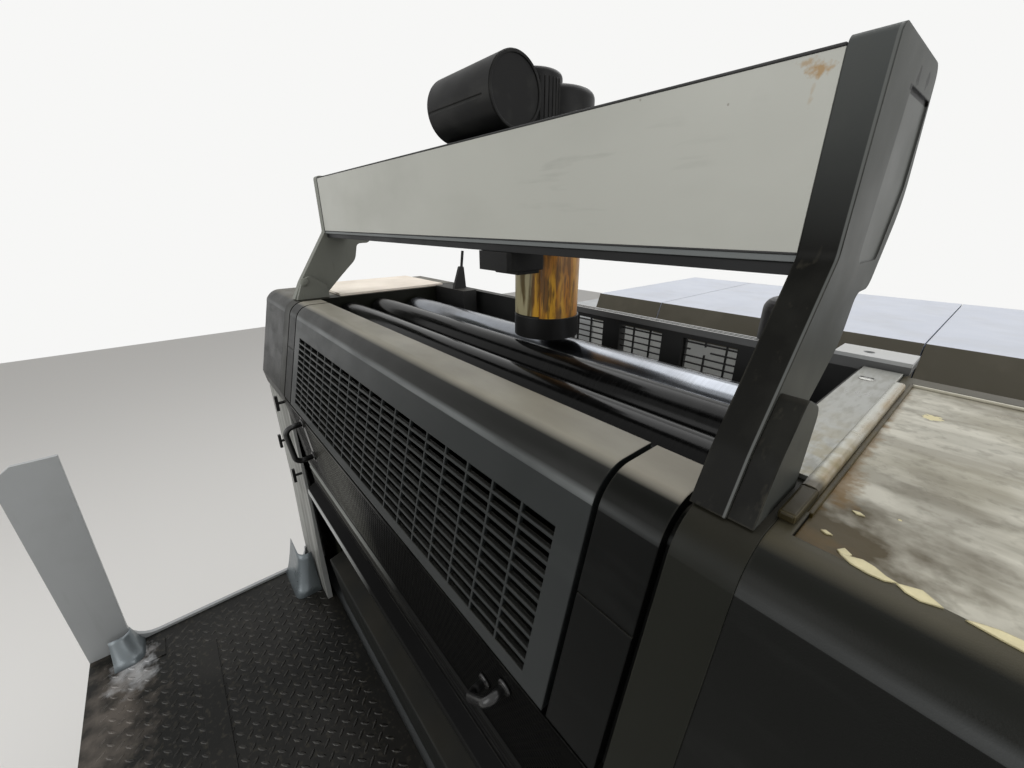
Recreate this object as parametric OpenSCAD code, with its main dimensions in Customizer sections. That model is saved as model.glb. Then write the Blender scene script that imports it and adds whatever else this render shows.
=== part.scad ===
/* [Printing unit] */
// Overall width over the side covers
press_w = 1700; // [1650:10:1900]
// Clear width between the two side frames
bay_w = 1060; // [1000:5:1100]
// How far the bay sits towards the far side of the middle
bay_shift = 40; // [20:5:60]
// Thickness of a side frame
frame_t = 46; // [36:1:60]
// Depth of the side frames
unit_d = 510; // [480:5:600]
// Height of the flat top of the unit
unit_h = 1809; // [1740:1:1900]
// Height at which the front steps back under the guards
knee_h = 1150; // [1080:5:1200]
// Depth of the step-back under the guards
knee_d = 57; // [45:1:80]
// Running gap between covers that move and covers that stay
seam = 6; // [5.5:0.5:10]

/* [Guards] */
// Radius between the flat top and the leaning front
guard_r = 40; // [25:1:50]
// Lean of the guard front from the vertical, in degrees
guard_lean = 14; // [8:1:18]
// Wall of the moulded guards and covers
wall = 5; // [3:0.5:8]
// Depth of the flat top of the grille guard
guard_top_d = 72; // [60:1:90]
// Height of the grille guard
guard_h = 240; // [225:1:260]
// Width of each end cheek beside the grille guard
cheek_w = 66; // [50:1:80]
// Grille slot rows
slot_rows = 12; // [8:1:12]
// Grille slot columns
slot_cols = 18; // [10:1:20]
// Distance between grille slot rows
slot_pitch_z = 13.4; // [11:0.1:13.4]
// Distance between grille slot columns
slot_pitch_x = 47.5; // [40:0.5:48]
// Height of the grille bars
slot_bar = 3.4; // [2:0.1:5]
// Width of the webs between grille slots
slot_web = 3; // [2:0.5:5]
// Drop of the first grille slot below the flat top
slot_drop = 66; // [62:1:75]

// Height of the ledge of the lower guard above the step-back
ledge_rise = 112; // [95:1:125]
// Height of the ribbed band over the ledge of the lower guard
band_h = 110; // [95:1:125]
// Width of the dark joint between a cheek and its side frame
shadow_gap = 7; // [4:0.5:10]

/* [Inking rollers] */
// Diameter of the two ink rollers
ink_roller_d = 76; // [60:1:80]
// Diameter of the steel fountain roller
fountain_roller_d = 84; // [70:1:90]
// Diameter of every roller journal
journal_d = 28; // [20:1:34]
// Depth of each journal in its side frame
journal_in = 20; // [12:1:30]
// Running gap round a journal
journal_gap = 0.3; // [0.2:0.1:0.5]

// Width of a window in the fountain guard
window_w = 99; // [80:1:104]
// Height of a window in the fountain guard
window_h = 86; // [60:1:90]
// Width of the posts between the windows
post_w = 43; // [36:1:48]

/* [Ink beam] */
// Height of the front panel of the ink beam
beam_h = 124; // [110:1:140]
// Depth of the ink beam
beam_d = 56; // [40:1:70]
// Height of the underside of the ink beam above the flat top
beam_rise = 167; // [150:1:190]
// Width of an arm
arm_w = 26; // [20:1:32]
// Depth of an arm at the beam
arm_d = 153; // [140:1:160]
// Height of the guide rail under the beam
rail_h = 15; // [12:1:22]

/* [Ink carriage] */
// Place of the ink tube along the beam, from the middle of the bay
tube_x = 88; // [60:1:120]
// Diameter of the ink tube
tube_d = 112; // [100:1:114]
// Diameter of the drive drum
drum_d = 89; // [80:1:100]
// Length of the drive drum
drum_l = 151; // [130:1:170]

/* [Galleries] */
// Height of the tread plates above the floor
deck_h = 790; // [700:10:850]
// Width of the front gallery
gallery_w = 665; // [600:5:700]
// Width of the gallery behind the unit
rear_gallery_w = 690; // [620:5:760]
// Thickness of the side plates and cladding
plate_t = 12; // [8:1:16]
// Thickness of the tread plates
tread_t = 6; // [5:1:10]

/* [Hooded section] */
// Depth of the hooded section
section_d = 870; // [800:5:1000]
// Height of the hood tops
hood_h = 1700; // [1640:5:1780]
// Depth of the sloped front of the hoods
slope_d = 40; // [30:1:70]
// Drop of the sloped front of the hoods
slope_h = 100; // [60:1:130]
// Width of the far hood panel
hood_split = 302; // [250:1:500]

/* [Hidden] */

$fn = 64;
eps = 1;
seat = 0.3;

// Lines across the machine
far_x = -press_w / 2;
near_x = press_w / 2;
bay_far = -bay_shift - bay_w / 2;
bay_near = -bay_shift + bay_w / 2;
frame_far = bay_far - frame_t;
frame_near = bay_near + frame_t;
guard_far = bay_far + cheek_w + seam / 2;
guard_near = bay_near - cheek_w - seam / 2;

// Lines along the machine
press_len = gallery_w + unit_d + rear_gallery_w + section_d + 5;
front_y = -press_len / 2;
unit_front = front_y + gallery_w + 5;
unit_rear = unit_front + unit_d;
section_front_y = unit_rear + rear_gallery_w;
section_rear = section_front_y + section_d;

// Centre of the rounded corner of the front profile
brow_out = 12;
corner_y = unit_front - brow_out + guard_r * 1.05;
corner_z = unit_h - guard_r;
guard_back = corner_y + guard_top_d - guard_r + 10;
guard_low = unit_h - guard_h;

function lean_y(z, inset = 0) = corner_y - (guard_r - inset) / cos(guard_lean)
    - (corner_z - z) * tan(guard_lean);

// Extrudes an outline of the length and height along the width
module along_x(x0, x1) {
    translate([x0, 0, 0])
        rotate([90, 0, 90])
            linear_extrude(x1 - x0)
                children();
}

// Arc of radius r that rounds the corner b between its neighbours a and c
function turn(a, b, c, r, n = 6) =
    let (u = (a - b) / norm(a - b), v = (c - b) / norm(c - b), half = acos(u * v) / 2)
    let (hub = b + (u + v) / norm(u + v) * r / sin(half))
    let (p = b + u * r / tan(half) - hub, q = b + v * r / tan(half) - hub)
    let (start = atan2(p[1], p[0]), sweep = atan2(p[0] * q[1] - p[1] * q[0], p * q))
    [for (i = [0 : n]) hub + r * [cos(start + sweep * i / n), sin(start + sweep * i / n)]];

// Outline through the corners [y, z, radius], each rounded by its radius
function rounded(path) = [
    for (i = [0 : len(path) - 1])
        let (k = len(path), a = path[(i + k - 1) % k], b = path[i], c = path[(i + 1) % k])
        each (b[2] > 0
            ? turn([a[0], a[1]], [b[0], b[1]], [c[0], c[1]], b[2])
            : [[b[0], b[1]]])
];

// Upright drum with a rounded top edge
module domed(r, h, edge) {
    rotate_extrude()
        polygon(rounded([[0, 0, 0], [r, 0, 0], [r, h, edge], [0, h, 0]]));
}

// Outline with a flat top, a rounded brow and a leaning front
module brow(back_y, low_z, inset = 0) {
    translate([corner_y, corner_z])
        circle(guard_r - inset);
    polygon([
        [back_y, unit_h - inset],
        [corner_y, unit_h - inset],
        [corner_y, corner_z],
        [corner_y - (guard_r - inset) * cos(guard_lean), corner_z + (guard_r - inset) * sin(guard_lean)],
        [lean_y(low_z, inset), low_z],
        [back_y, low_z]
    ]);
}

// Outline of a frame or side cover down to the floor
module side_outline(back_y, top_z = unit_h) {
    intersection() {
        union() {
            brow(back_y, guard_low);
            polygon([
                [lean_y(guard_low), guard_low],
                [unit_front, knee_h],
                [unit_front, 0],
                [back_y, 0],
                [back_y, guard_low]
            ]);
        }
        translate([unit_front - 200, 0])
            square([unit_d + 400, top_z]);
    }
}

// Rollers, measured from the back of the guard and down from the flat top
front_roller = [guard_back + 35 + ink_roller_d / 2, unit_h - 14 - ink_roller_d / 2];
rear_roller = [front_roller[0] + ink_roller_d + 14, front_roller[1] + 2];
fountain_pos = [rear_roller[0] + ink_roller_d / 2 + 26 + fountain_roller_d / 2,
    unit_h - 22 - fountain_roller_d / 2];

module journal_bores() {
    for (p = [front_roller, rear_roller, fountain_pos])
        translate(p)
            circle(d = journal_d + 2 * journal_gap);
    translate(lower_hinge)
        circle(d = hinge_d + 2 * journal_gap);
}

strip_t = 4;

module side_frame_far() {
    color("#2a2c2a") {
        along_x(frame_far, bay_far - journal_in - eps)
            side_outline(unit_rear);
        along_x(bay_far - journal_in - eps, bay_far)
            difference() {
                side_outline(unit_rear);
                journal_bores();
            }
    }
}

module side_frame_near() {
    color("#2a2c2a") {
        along_x(bay_near, bay_near + journal_in + eps)
            difference() {
                side_outline(unit_rear);
                journal_bores();
            }
        along_x(bay_near + journal_in + eps, frame_near)
            side_outline(unit_rear);
    }
}

base_top = knee_h - 20;
base_y = unit_front + 8;
kick_top = base_top - 130;
kick_out = 37;
kick_foot = 16;

module base_casting() {
    color("#3a3c3a") {
        translate([bay_far + seat, base_y, 0])
            cube([bay_w - 2 * seat, unit_d - 16, base_top]);
        along_x(bay_far + seat, bay_near - seat)
            polygon(rounded([
                [base_y + eps, deck_h + 2, 0],
                [unit_front - kick_foot, deck_h + 2, 0],
                [unit_front - kick_out, kick_top - 12, 6],
                [base_y + eps, kick_top, 0]
            ]));
    }
}

module spindle(pos, d, body_gap = 12) {
    along_x(bay_far + body_gap, bay_near - body_gap)
        translate(pos) circle(d = d);
    along_x(bay_far - journal_in, bay_near + journal_in)
        translate(pos) circle(d = journal_d);
}

rear_t = 8;
rear_y = unit_rear - rear_t - 30;

module rear_guard() {
    color("#2c2f2d")
        along_x(bay_far + seat, bay_near - seat)
            polygon([
                [rear_y, base_top + seat],
                [rear_y + rear_t, base_top + seat],
                [rear_y + rear_t, trough_z - 60 - seat],
                [trough_y + 10, trough_z - 60 - seat],
                [trough_y + 10, trough_z - 68 - seat],
                [rear_y, trough_z - 68 - seat]
            ]);
}

module ink_roller_front() {
    color("#1a1a1c") spindle(front_roller, ink_roller_d);
}

module ink_roller_rear() {
    color("#1a1a1c") spindle(rear_roller, ink_roller_d);
}

module fountain_roller() {
    color("#b8bcc0") spindle(fountain_pos, fountain_roller_d, 20);
}

trough_y = fountain_pos[0] + fountain_roller_d / 2 + 6;
guard_y = unit_rear - 30;
trough_z = fountain_pos[1] - 30;

blade_rise = 26;
keys_h = 60;

module ink_fountain() {
    color("#b4b6b6")
        along_x(bay_far + seat, bay_near - seat)
            polygon([
                [trough_y, trough_z],
                [trough_y, trough_z - keys_h],
                [guard_y - seat, trough_z - keys_h],
                [guard_y - seat, trough_z + blade_rise]
            ]);
}

windows = 4;
windows_shift = 104;
guard_panel_h = 120;
guard_panel_t = 22;
guard_top = unit_h - 4;
window_drop = 8;
lattice_row = 13;
lattice_col = 38;
lattice_bar = 2.6;
lattice_start = 10;

// Thin bars behind every window, one of them broken in the last window
module lattice(first_x, band) {
    window_low = guard_top - window_drop - window_h;
    last_x = first_x + band - window_w;
    difference() {
        union() {
            for (z = [window_low + lattice_row : lattice_row : guard_top - window_drop - lattice_bar])
                translate([first_x - eps, guard_y + 8, z - lattice_bar / 2])
                    cube([band + 2 * eps, 4, lattice_bar]);
            for (x = [first_x + lattice_start : lattice_col : first_x + band - lattice_bar])
                translate([x - lattice_bar / 2, guard_y + 8, window_low - eps])
                    cube([lattice_bar, 4, window_h + 2 * eps]);
        }
        translate([last_x + lattice_start + lattice_bar, guard_y, guard_top - window_drop - 2 * lattice_row - 1])
            cube([lattice_col, guard_panel_t, lattice_row + 2]);
    }
}

windows_band = windows * window_w + (windows - 1) * post_w;
windows_x = windows_shift - bay_shift - windows_band / 2;

module fountain_guard() {
    color("#17181a") {
        difference() {
            translate([bay_far + seat, guard_y, guard_top - guard_panel_h])
                cube([bay_w - 2 * seat, guard_panel_t, guard_panel_h]);
            for (i = [0 : windows - 1])
                translate([windows_x + i * (window_w + post_w), guard_y - eps, guard_top - window_drop - window_h])
                    cube([window_w, guard_panel_t + 2 * eps, window_h]);
        }
        lattice(windows_x, windows_band);
    }
}

rail_edge = 12;
rail_lip = 4;
rail_rib = 3;
cap_x = 374;
cap_r = 26;
cap_rise = 85;
end_plate = [bay_near - 35, frame_near + 4];

module guard_rail() {
    color("#d4d6d8") {
        along_x(windows_x - 8, bay_near - seat)
            difference() {
                translate([guard_y, guard_top + seat])
                    square([guard_panel_t, rail_edge]);
                for (y = [guard_y + rail_lip, guard_y + (guard_panel_t + rail_rib) / 2])
                    translate([y, guard_top + 6])
                        square([(guard_panel_t - rail_rib) / 2 - rail_lip, rail_edge]);
            }
        difference() {
            translate([end_plate[0], guard_y, unit_h + seat])
                cube([end_plate[1] - end_plate[0], guard_panel_t + 33, 16]);
            translate([bay_near, guard_y + 26, unit_h])
                cylinder(d = 13, h = 20);
        }
        translate([cap_x, guard_y + guard_panel_t / 2, guard_top + seat + 1])
            cylinder(r = 10, h = rail_edge + 10);
        translate([cap_x, guard_y + guard_panel_t / 2, guard_top + rail_edge + 6])
            domed(cap_r, cap_rise - rail_edge - 6, 20);
    }
}

bracket_y = guard_y - 55;
bracket_d = 40;
bracket_w = 155;
bracket_low = trough_z + blade_rise + seat;
lever_x = bay_far + 104;
lever_t = 10;
lever_top = unit_h + 110;

// Block on the fountain's far end with an upright key lever
module key_bracket() {
    color("#3a3c38") {
        translate([bay_far + seat, bracket_y - 5, bracket_low])
            cube([bracket_w, bracket_d + 5, unit_h + 3 - bracket_low]);
        along_x(lever_x - lever_t, lever_x)
            polygon(rounded([
                [bracket_y - 4, unit_h, 0],
                [bracket_y + bracket_d, unit_h, 0],
                [bracket_y + bracket_d - 6, unit_h + 66, 5],
                [bracket_y + bracket_d - 20, unit_h + 66, 5]
            ]));
        translate([lever_x - lever_t / 2, bracket_y + bracket_d - 13, unit_h + 50])
            rotate([-8, 0, 0])
                cylinder(d = 8, h = lever_top - unit_h - 50);
    }
}

hinge_d = 12;
hinge_in = 14;
hinge_pos = [guard_back - 9, unit_h - 14];

module grille_slots() {
    slots_w = slot_cols * slot_pitch_x;
    x0 = guard_near - 30 - slots_w;
    for (r = [0 : slot_rows - 1])
        for (c = [0 : slot_cols - 1])
            translate([x0 + c * slot_pitch_x + slot_web / 2, 0, 0])
                translate([0, lean_y(unit_h - slot_drop - r * slot_pitch_z) - 14,
                    unit_h - slot_drop - (r + 1) * slot_pitch_z + slot_bar / 2])
                    cube([slot_pitch_x - slot_web, 40, slot_pitch_z - slot_bar]);
}

module grille_guard() {
    color("#3b3f3d") {
        difference() {
            along_x(guard_far, guard_near)
                difference() {
                    brow(guard_back, guard_low);
                    brow(guard_back + eps, guard_low - eps, wall);
                }
            grille_slots();
        }
        for (x = [guard_far, guard_near - wall])
            along_x(x, x + wall)
                brow(guard_back, guard_low);
        along_x(guard_far - seam - hinge_in, guard_near + seam + hinge_in)
            translate(hinge_pos) circle(d = hinge_d);
    }
}

// Round bar bent into a bow, with its two feet on the face behind it
module bow(span, reach, rod) {
    for (x = [0, span])
        translate([x, 0, 0])
            rotate([90, 0, 0])
                cylinder(d = rod, h = reach);
    translate([0, -reach, 0])
        rotate([0, 90, 0])
            cylinder(d = rod, h = span);
    for (x = [0, span])
        translate([x, -reach, 0])
            sphere(d = rod);
}

groove_z = unit_h - 108;
groove_h = 1.6;

// End cheek from its inner face to its side frame, which it meets behind the dark joint
module cheek(inner_x, side) {
    face_x = inner_x + side * (cheek_w - seam / 2 - shadow_gap);
    seat_x = inner_x + side * (cheek_w - seam / 2 - seat);
    pin_x = inner_x + side * (hinge_in + 8);
    difference() {
        union() {
            along_x(min(inner_x, face_x), max(inner_x, face_x))
                brow(guard_back, guard_low);
            along_x(min(face_x - side * eps, seat_x), max(face_x - side * eps, seat_x))
                brow(guard_back, guard_low, 12);
        }
        along_x(min(inner_x - side * eps, pin_x), max(inner_x - side * eps, pin_x))
            translate(hinge_pos) circle(d = hinge_d + 2 * journal_gap);
        translate([min(inner_x, face_x) - eps, lean_y(groove_z) - 40, groove_z])
            cube([cheek_w, 42.5, groove_h]);
    }
}

module cheek_far() {
    color("#353836")
        cheek(guard_far - seam, -1);
}

module cheek_near() {
    color("#353836")
        cheek(guard_near + seam, 1);
}

lower_top = guard_low - 8;
lower_hinge = [unit_front + 8, knee_h + 8];
ledge_z = knee_h + ledge_rise;
mesh_low = ledge_z + band_h;
mesh_h = lower_top - mesh_low;
mesh_lean = 6.3;
ledge_out = 56;
skin = 10;
band_in = 7;
band_low = 24;

function lower_face_y(z) = lean_y(guard_low) + 1 + (lower_top - z) * tan(mesh_lean);
function band_y(z) = lower_face_y(mesh_low) + band_in * (mesh_low - z) / (mesh_low - ledge_z - band_low);

module lower_section() {
    knee_y = unit_front - 8;
    polygon([
        [lower_face_y(lower_top), lower_top],
        [lower_face_y(mesh_low), mesh_low],
        [band_y(ledge_z + band_low), ledge_z + band_low],
        [unit_front - ledge_out, ledge_z + 8],
        [unit_front - ledge_out, ledge_z - 6],
        [knee_y - 16, ledge_z - 20],
        [knee_y, knee_h + 8],
        [knee_y + skin, knee_h + 8],
        [knee_y - 16 + skin, ledge_z - 20],
        [band_y(ledge_z + band_low) + skin, ledge_z + band_low],
        [lower_face_y(mesh_low) + skin, mesh_low],
        [lower_face_y(lower_top) + skin, lower_top]
    ]);
}

module lower_guard() {
    color("#303331") {
        along_x(bay_far + seam, bay_near - seam)
            lower_section();
        along_x(ribs_far, bay_near - seam)
            translate([band_y(mesh_low - rib_drop) + 2, mesh_low - rib_drop])
                circle(d = 13);
        for (k = [1 : 3])
            along_x(ribs_far, bay_near - seam)
                translate([band_y(mesh_low - rib_drop - k * 17) + 1, mesh_low - rib_drop - k * 17])
                    circle(d = 8);
        along_x(bay_far + seam, bay_near - seam)
            translate(lower_hinge) circle(d = 16);
        along_x(bay_far - hinge_in, bay_near + hinge_in)
            translate(lower_hinge) circle(d = hinge_d);
    }
}

rib_drop = 14;
ribs_far = bay_far + 37;
end_bow = [bay_far + 158, lower_top - 0.57 * mesh_h, mesh_h / 2, 42, 11];
near_grip = [bay_near - 175, lower_top - 0.45 * mesh_h, 70, 26, 11];

module lower_handles() {
    color("#141414")
        translate([end_bow[0], lower_face_y(end_bow[1]) - seat, end_bow[1]])
            rotate([mesh_lean, 0, 0]) rotate([0, -90, 0])
                bow(end_bow[2], end_bow[3], end_bow[4]);
    color("#8a8c8c")
        translate([near_grip[0], lower_face_y(near_grip[1]) - seat, near_grip[1]])
            rotate([mesh_lean, 0, 0]) rotate([0, -48, 0])
                bow(near_grip[2], near_grip[3], near_grip[4]);
}

cladding_far = far_x;
cover_far = far_x + plate_t + seat;

front_panel_t = 8;
front_panel_top = guard_low - 39;

module side_cover_far() {
    color("#3d403e")
        along_x(cover_far, frame_far - seat)
            difference() {
                side_outline(unit_rear);
                translate([unit_front - 100, -eps])
                    square([100 + clad_y - unit_front + front_panel_t + seat, front_panel_top + seat + eps]);
            }
}

clad_top = unit_h - 12;
clad_y = unit_front - 51;
clad_foot_y = unit_front - 58;

// Front edge of the cladding from a height up, closed by the given back points
module clad_outline(low, back) {
    polygon(rounded(concat([
        [clad_foot_y, low, 0],
        [clad_foot_y, unit_h - 900, 60],
        [clad_y, unit_h - 650, 60]
    ], back)));
}

// Side plate of the far side, folded round to the front below the guards
module far_cladding() {
    color("#b9bcbc") {
        along_x(cladding_far, cladding_far + plate_t)
            clad_outline(0, [
                [clad_y, unit_h - 300, 90],
                [unit_front - 27, unit_h - 153, 90],
                [unit_front - 4, clad_top, 22],
                [unit_rear, clad_top, 0],
                [unit_rear, 0, 0]
            ]);
        along_x(cladding_far + plate_t - eps, frame_far - seat)
            clad_outline(deck_h + seat, [
                [clad_y, front_panel_top, 0],
                [clad_y + front_panel_t, front_panel_top, 0],
                [clad_y + front_panel_t, deck_h + seat, 0]
            ]);
    }
}

knobs = [[frame_far - 22, 284], [frame_far - 125, 448], [frame_far - 12, 517]];
knob_reach = 22;
knob_bar = 8;

module cladding_knobs() {
    color("#101010")
        for (knob = knobs)
            translate([knob[0], clad_y - seat, unit_h - knob[1]]) {
                rotate([90, 0, 0]) cylinder(d = knob_bar, h = knob_reach);
                translate([-knob_bar / 2, -knob_reach - 3, -22]) cube([knob_bar, knob_bar, 44]);
            }
}

top_plate_t = 6;
far_plate_y = unit_front + 130;

module far_top_plate() {
    color("#c9c3b6")
        translate([cover_far, far_plate_y, unit_h + seat])
            cube([bay_far - cover_far - 10, unit_rear - 60 - far_plate_y, top_plate_t]);
}

recess_d = 8;
recess_x0 = frame_near + 12;
recess_x1 = near_x - 25;
recess_y0 = unit_front + 36;
recess_y1 = unit_rear - 62;

module side_cover_near() {
    color("#2f322f")
        difference() {
            along_x(frame_near + seat, near_x)
                side_outline(unit_rear - 35);
            translate([recess_x0, recess_y0, unit_h - recess_d])
                cube([recess_x1 - recess_x0, recess_y1 - recess_y0, recess_d + eps]);
        }
}

module near_top_plate() {
    color("#8c897f")
        translate([recess_x0 + seat, recess_y0 + seat, unit_h - recess_d + seat])
            cube([recess_x1 - recess_x0 - 2 * seat, recess_y1 - recess_y0 - 2 * seat, 4]);
}

bar_w = 12;
bar_h = 8;
bar_foot_y = unit_front + 92;
strip_y = unit_front + 112;

// Flat strip on the frame with a half-round bar along its outer edge
module near_strips() {
    strip_x = bay_near + 4;
    color("#c8c9c3") {
        translate([strip_x, strip_y, unit_h + seat])
            cube([frame_near - eps - strip_x, guard_y - 10 - strip_y, strip_t]);
        translate([0, guard_y - 68, 0])
            rotate([90, 0, 0])
                linear_extrude(guard_y - 68 - bar_foot_y)
                    polygon(rounded([
                        [frame_near - 2 * eps, unit_h + seat, 0],
                        [frame_near - 2 * eps, unit_h + seat + bar_h, 4],
                        [frame_near - 2 * eps + bar_w, unit_h + seat + bar_h, 4],
                        [frame_near - 2 * eps + bar_w, unit_h + seat, 0]
                    ]));
    }
}

beam_front = unit_front + 121;
beam_low = unit_h + beam_rise;
arm_far_x = bay_far - 33;
arm_near_x = bay_near - 3;

module beam_profile() {
    difference() {
        translate([beam_front + 6, beam_low]) square([beam_d - 6, beam_h]);
        translate([beam_front + 6 + 8, beam_low + 8]) square([beam_d - 6 - 16, beam_h - 16]);
    }
}

module ink_beam() {
    color("#4a4c4e")
        along_x(arm_far_x + seat, arm_near_x - seat)
            beam_profile();
}

module beam_panel() {
    color("#c4c6c6")
        along_x(arm_far_x + seat, arm_near_x - seat)
            translate([beam_front, beam_low]) square([6 - seat, beam_h]);
}

module beam_rail() {
    color("#1c1d1e")
        along_x(arm_far_x + seat, arm_near_x - seat)
            polygon([
                [beam_front + 1, beam_low - seat],
                [beam_front + 1, beam_low - seat - 5],
                [beam_front + 5, beam_low - seat - 6],
                [beam_front + 5, beam_low - seat - rail_h],
                [beam_front + beam_d, beam_low - seat - rail_h],
                [beam_front + beam_d, beam_low - seat]
            ]);
}

arm_top = beam_low + beam_h + 7;

// Side of an arm, leaning forward to its foot and carrying the beam at its head
module arm_outline() {
    polygon(rounded([
        [beam_front, arm_top, 8],
        [beam_front, beam_low - 1, 16],
        [beam_front - 82, unit_h + 42, 70],
        [beam_front - 103, unit_h + seat, 0],
        [beam_front - 28, unit_h + seat, 0],
        [beam_front + 28, unit_h + 54, 60],
        [beam_front + 70, unit_h + 92, 40],
        [beam_front + 80, beam_low - 33, 12],
        [beam_front + arm_d - 38, beam_low - 32, 16],
        [beam_front + arm_d - 5, beam_low + 36, 60],
        [beam_front + arm_d - 28, arm_top, 14]
    ]));
}

module arm_far() {
    color("#4c4d49")
        along_x(arm_far_x - arm_w, arm_far_x)
            arm_outline();
}

pocket_y = beam_front + 54;
pocket_low = beam_low - 8;
pocket_top = beam_low + 108;
pocket_d = 1.5;

module arm_near() {
    color("#3c3d3a")
        difference() {
            along_x(arm_near_x, arm_near_x + arm_w)
                arm_outline();
            along_x(arm_near_x + arm_w - pocket_d, arm_near_x + arm_w + eps)
                polygon(rounded([
                    [pocket_y, pocket_low, 8],
                    [beam_front + arm_d - 42, pocket_low, 8],
                    [beam_front + arm_d - 20, pocket_low + 56, 20],
                    [beam_front + arm_d - 26, pocket_top, 3],
                    [pocket_y + 6, pocket_top, 3]
                ]));
        }
}

foot_out = 17;
foot_h = 81;
lug_out = 14;
lug_h = 61;

// Lug on the inner side of the far arm
module arm_foot_far() {
    color("#454643")
        along_x(arm_far_x + seat, arm_far_x + seat + lug_out)
            polygon(rounded([
                [beam_front - 100, unit_h + seat, 0],
                [beam_front - 84, unit_h + 38, 20],
                [beam_front - 63, unit_h + lug_h, 12],
                [beam_front - 19, unit_h + 31, 6],
                [beam_front - 19, unit_h + seat, 0]
            ]));
}

// Block on the outer side of the near arm, flush with its leaning front
module arm_foot_near() {
    color("#454643")
        along_x(arm_near_x + arm_w + seat, arm_near_x + arm_w + seat + foot_out)
            polygon(rounded([
                [beam_front - 101, unit_h + seat, 0],
                [beam_front - 80, unit_h + 43, 60],
                [beam_front - 53, unit_h + foot_h, 6],
                [beam_front - 18, unit_h + foot_h - 16, 16],
                [beam_front - 24, unit_h + seat, 0]
            ]));
}

tube_cx = -bay_shift + tube_x;
tube_cy = beam_front + 179;
tube_low = rear_roller[1] + ink_roller_d / 2 + 6;
ring_h = 37;
ring_floor = 13.7;
car_back = beam_front + beam_d + 6;
back_plate_t = 12;
shoe_x = tube_cx + 38;
shoe_w = 67;
shoe_d = 64;
shoe_h = 26;
shoe_top = beam_low - rail_h - 2 * seat;
beam_top = beam_low + beam_h;
saddle_t = 10;
drum_x = tube_cx + 66;
saddle_x = drum_x - drum_l;

// Shoe under the beam, plate behind it and saddle over the beam's rear edge
module carriage_block() {
    color("#1d1f20") {
        translate([0, 0, shoe_top - shoe_h])
            linear_extrude(shoe_h)
                polygon([
                    [shoe_x, beam_front + 2],
                    [shoe_x + shoe_w - 5, beam_front + 2],
                    [shoe_x + shoe_w, beam_front + 7],
                    [shoe_x + shoe_w, beam_front + 2 + shoe_d],
                    [shoe_x, beam_front + 2 + shoe_d]
                ]);
        translate([shoe_x + 12, beam_front + 22, shoe_top - shoe_h - 5])
            cube([shoe_w - 16, shoe_d - 24, 6]);
        translate([shoe_x, car_back - 3, shoe_top - 5])
            cube([shoe_w, back_plate_t + 3, 5]);
        translate([saddle_x, car_back, shoe_top - 5])
            cube([shoe_x + shoe_w - saddle_x, back_plate_t, beam_top + seat + saddle_t - shoe_top + 5]);
        translate([saddle_x, car_back - 30, beam_top + seat])
            cube([shoe_x + shoe_w - saddle_x, back_plate_t + 30, saddle_t]);
    }
}

drum_y = car_back - 14;
drum_z = beam_top + seat + saddle_t + seat + drum_d / 2;
drum_groove = 3;
gear_x = tube_cx + 12;
gear_y = tube_cy - 55;
gear_r = 45;
head_r = 66;
head_low = beam_low + 20;
head_top = beam_top + 84;

// Motor lying on the saddle
module carriage_drum() {
    color("#18191a")
        difference() {
            translate([drum_x - drum_l, drum_y, drum_z])
                rotate([0, 90, 0])
                    cylinder(d = drum_d, h = drum_l);
            translate([drum_x - drum_l - eps, drum_y - drum_d / 2 - eps, drum_z - 9])
                cube([drum_l - 14, drum_groove, drum_groove]);
        }
}

// Gear column beside the motor and cartridge head over the tube
module carriage_housing() {
    color("#202122")
        difference() {
            union() {
                translate([gear_x, gear_y, beam_low + 60])
                    domed(gear_r, beam_top + 97 - beam_low - 60, 8);
                translate([tube_cx, tube_cy, head_low])
                    domed(head_r, head_top - head_low, 12);
            }
            translate([gear_x - gear_r - eps, gear_y - gear_r - eps, 0])
                cube([2 * (gear_r + eps), car_back + back_plate_t + seat - gear_y + gear_r + eps,
                    beam_top + 2 * seat + saddle_t]);
            translate([drum_x - drum_l, drum_y, drum_z])
                rotate([0, 90, 0])
                    cylinder(d = drum_d + 2 * seat, h = drum_l + seat);
        }
}

module ink_tube() {
    color("#b98a2e")
        translate([tube_cx, tube_cy, tube_low + ring_floor + seat])
            cylinder(d = tube_d, h = head_low - 2 * seat - tube_low - ring_floor);
}

sleeve_t = 2;

// Ring under the cartridge with a bright half sleeve that backs it
module tube_holder() {
    bore = tube_d + 2 * seat;
    color("#151515")
        translate([tube_cx, tube_cy, tube_low])
            difference() {
                cylinder(d = tube_d + 6, h = ring_h);
                translate([0, 0, ring_floor])
                    cylinder(d = bore, h = ring_h);
            }
    color("#c8cacc")
        translate([tube_cx, tube_cy, tube_low + ring_h - eps])
            intersection() {
                difference() {
                    cylinder(d = bore + 2 * sleeve_t, h = head_low - tube_low - ring_h + eps - seat);
                    translate([0, 0, -eps])
                        cylinder(d = bore, h = head_low);
                }
                rotate([0, 0, 212])
                    translate([0, -tube_d, -eps])
                        cube([tube_d, 2 * tube_d, head_low]);
            }
}

deck_gap = 25;

module front_footboard() {
    color("#2b2b2d")
        translate([far_x + plate_t + seat, front_y, deck_h - tread_t])
            cube([press_w - plate_t - seat, gallery_w - deck_gap, tread_t]);
}

module rear_footboard() {
    color("#2b2b2d")
        translate([far_x, unit_rear + seat, deck_h - tread_t])
            cube([press_w, rear_gallery_w - 2 * seat, tread_t]);
}

beam_box = 60;

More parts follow.
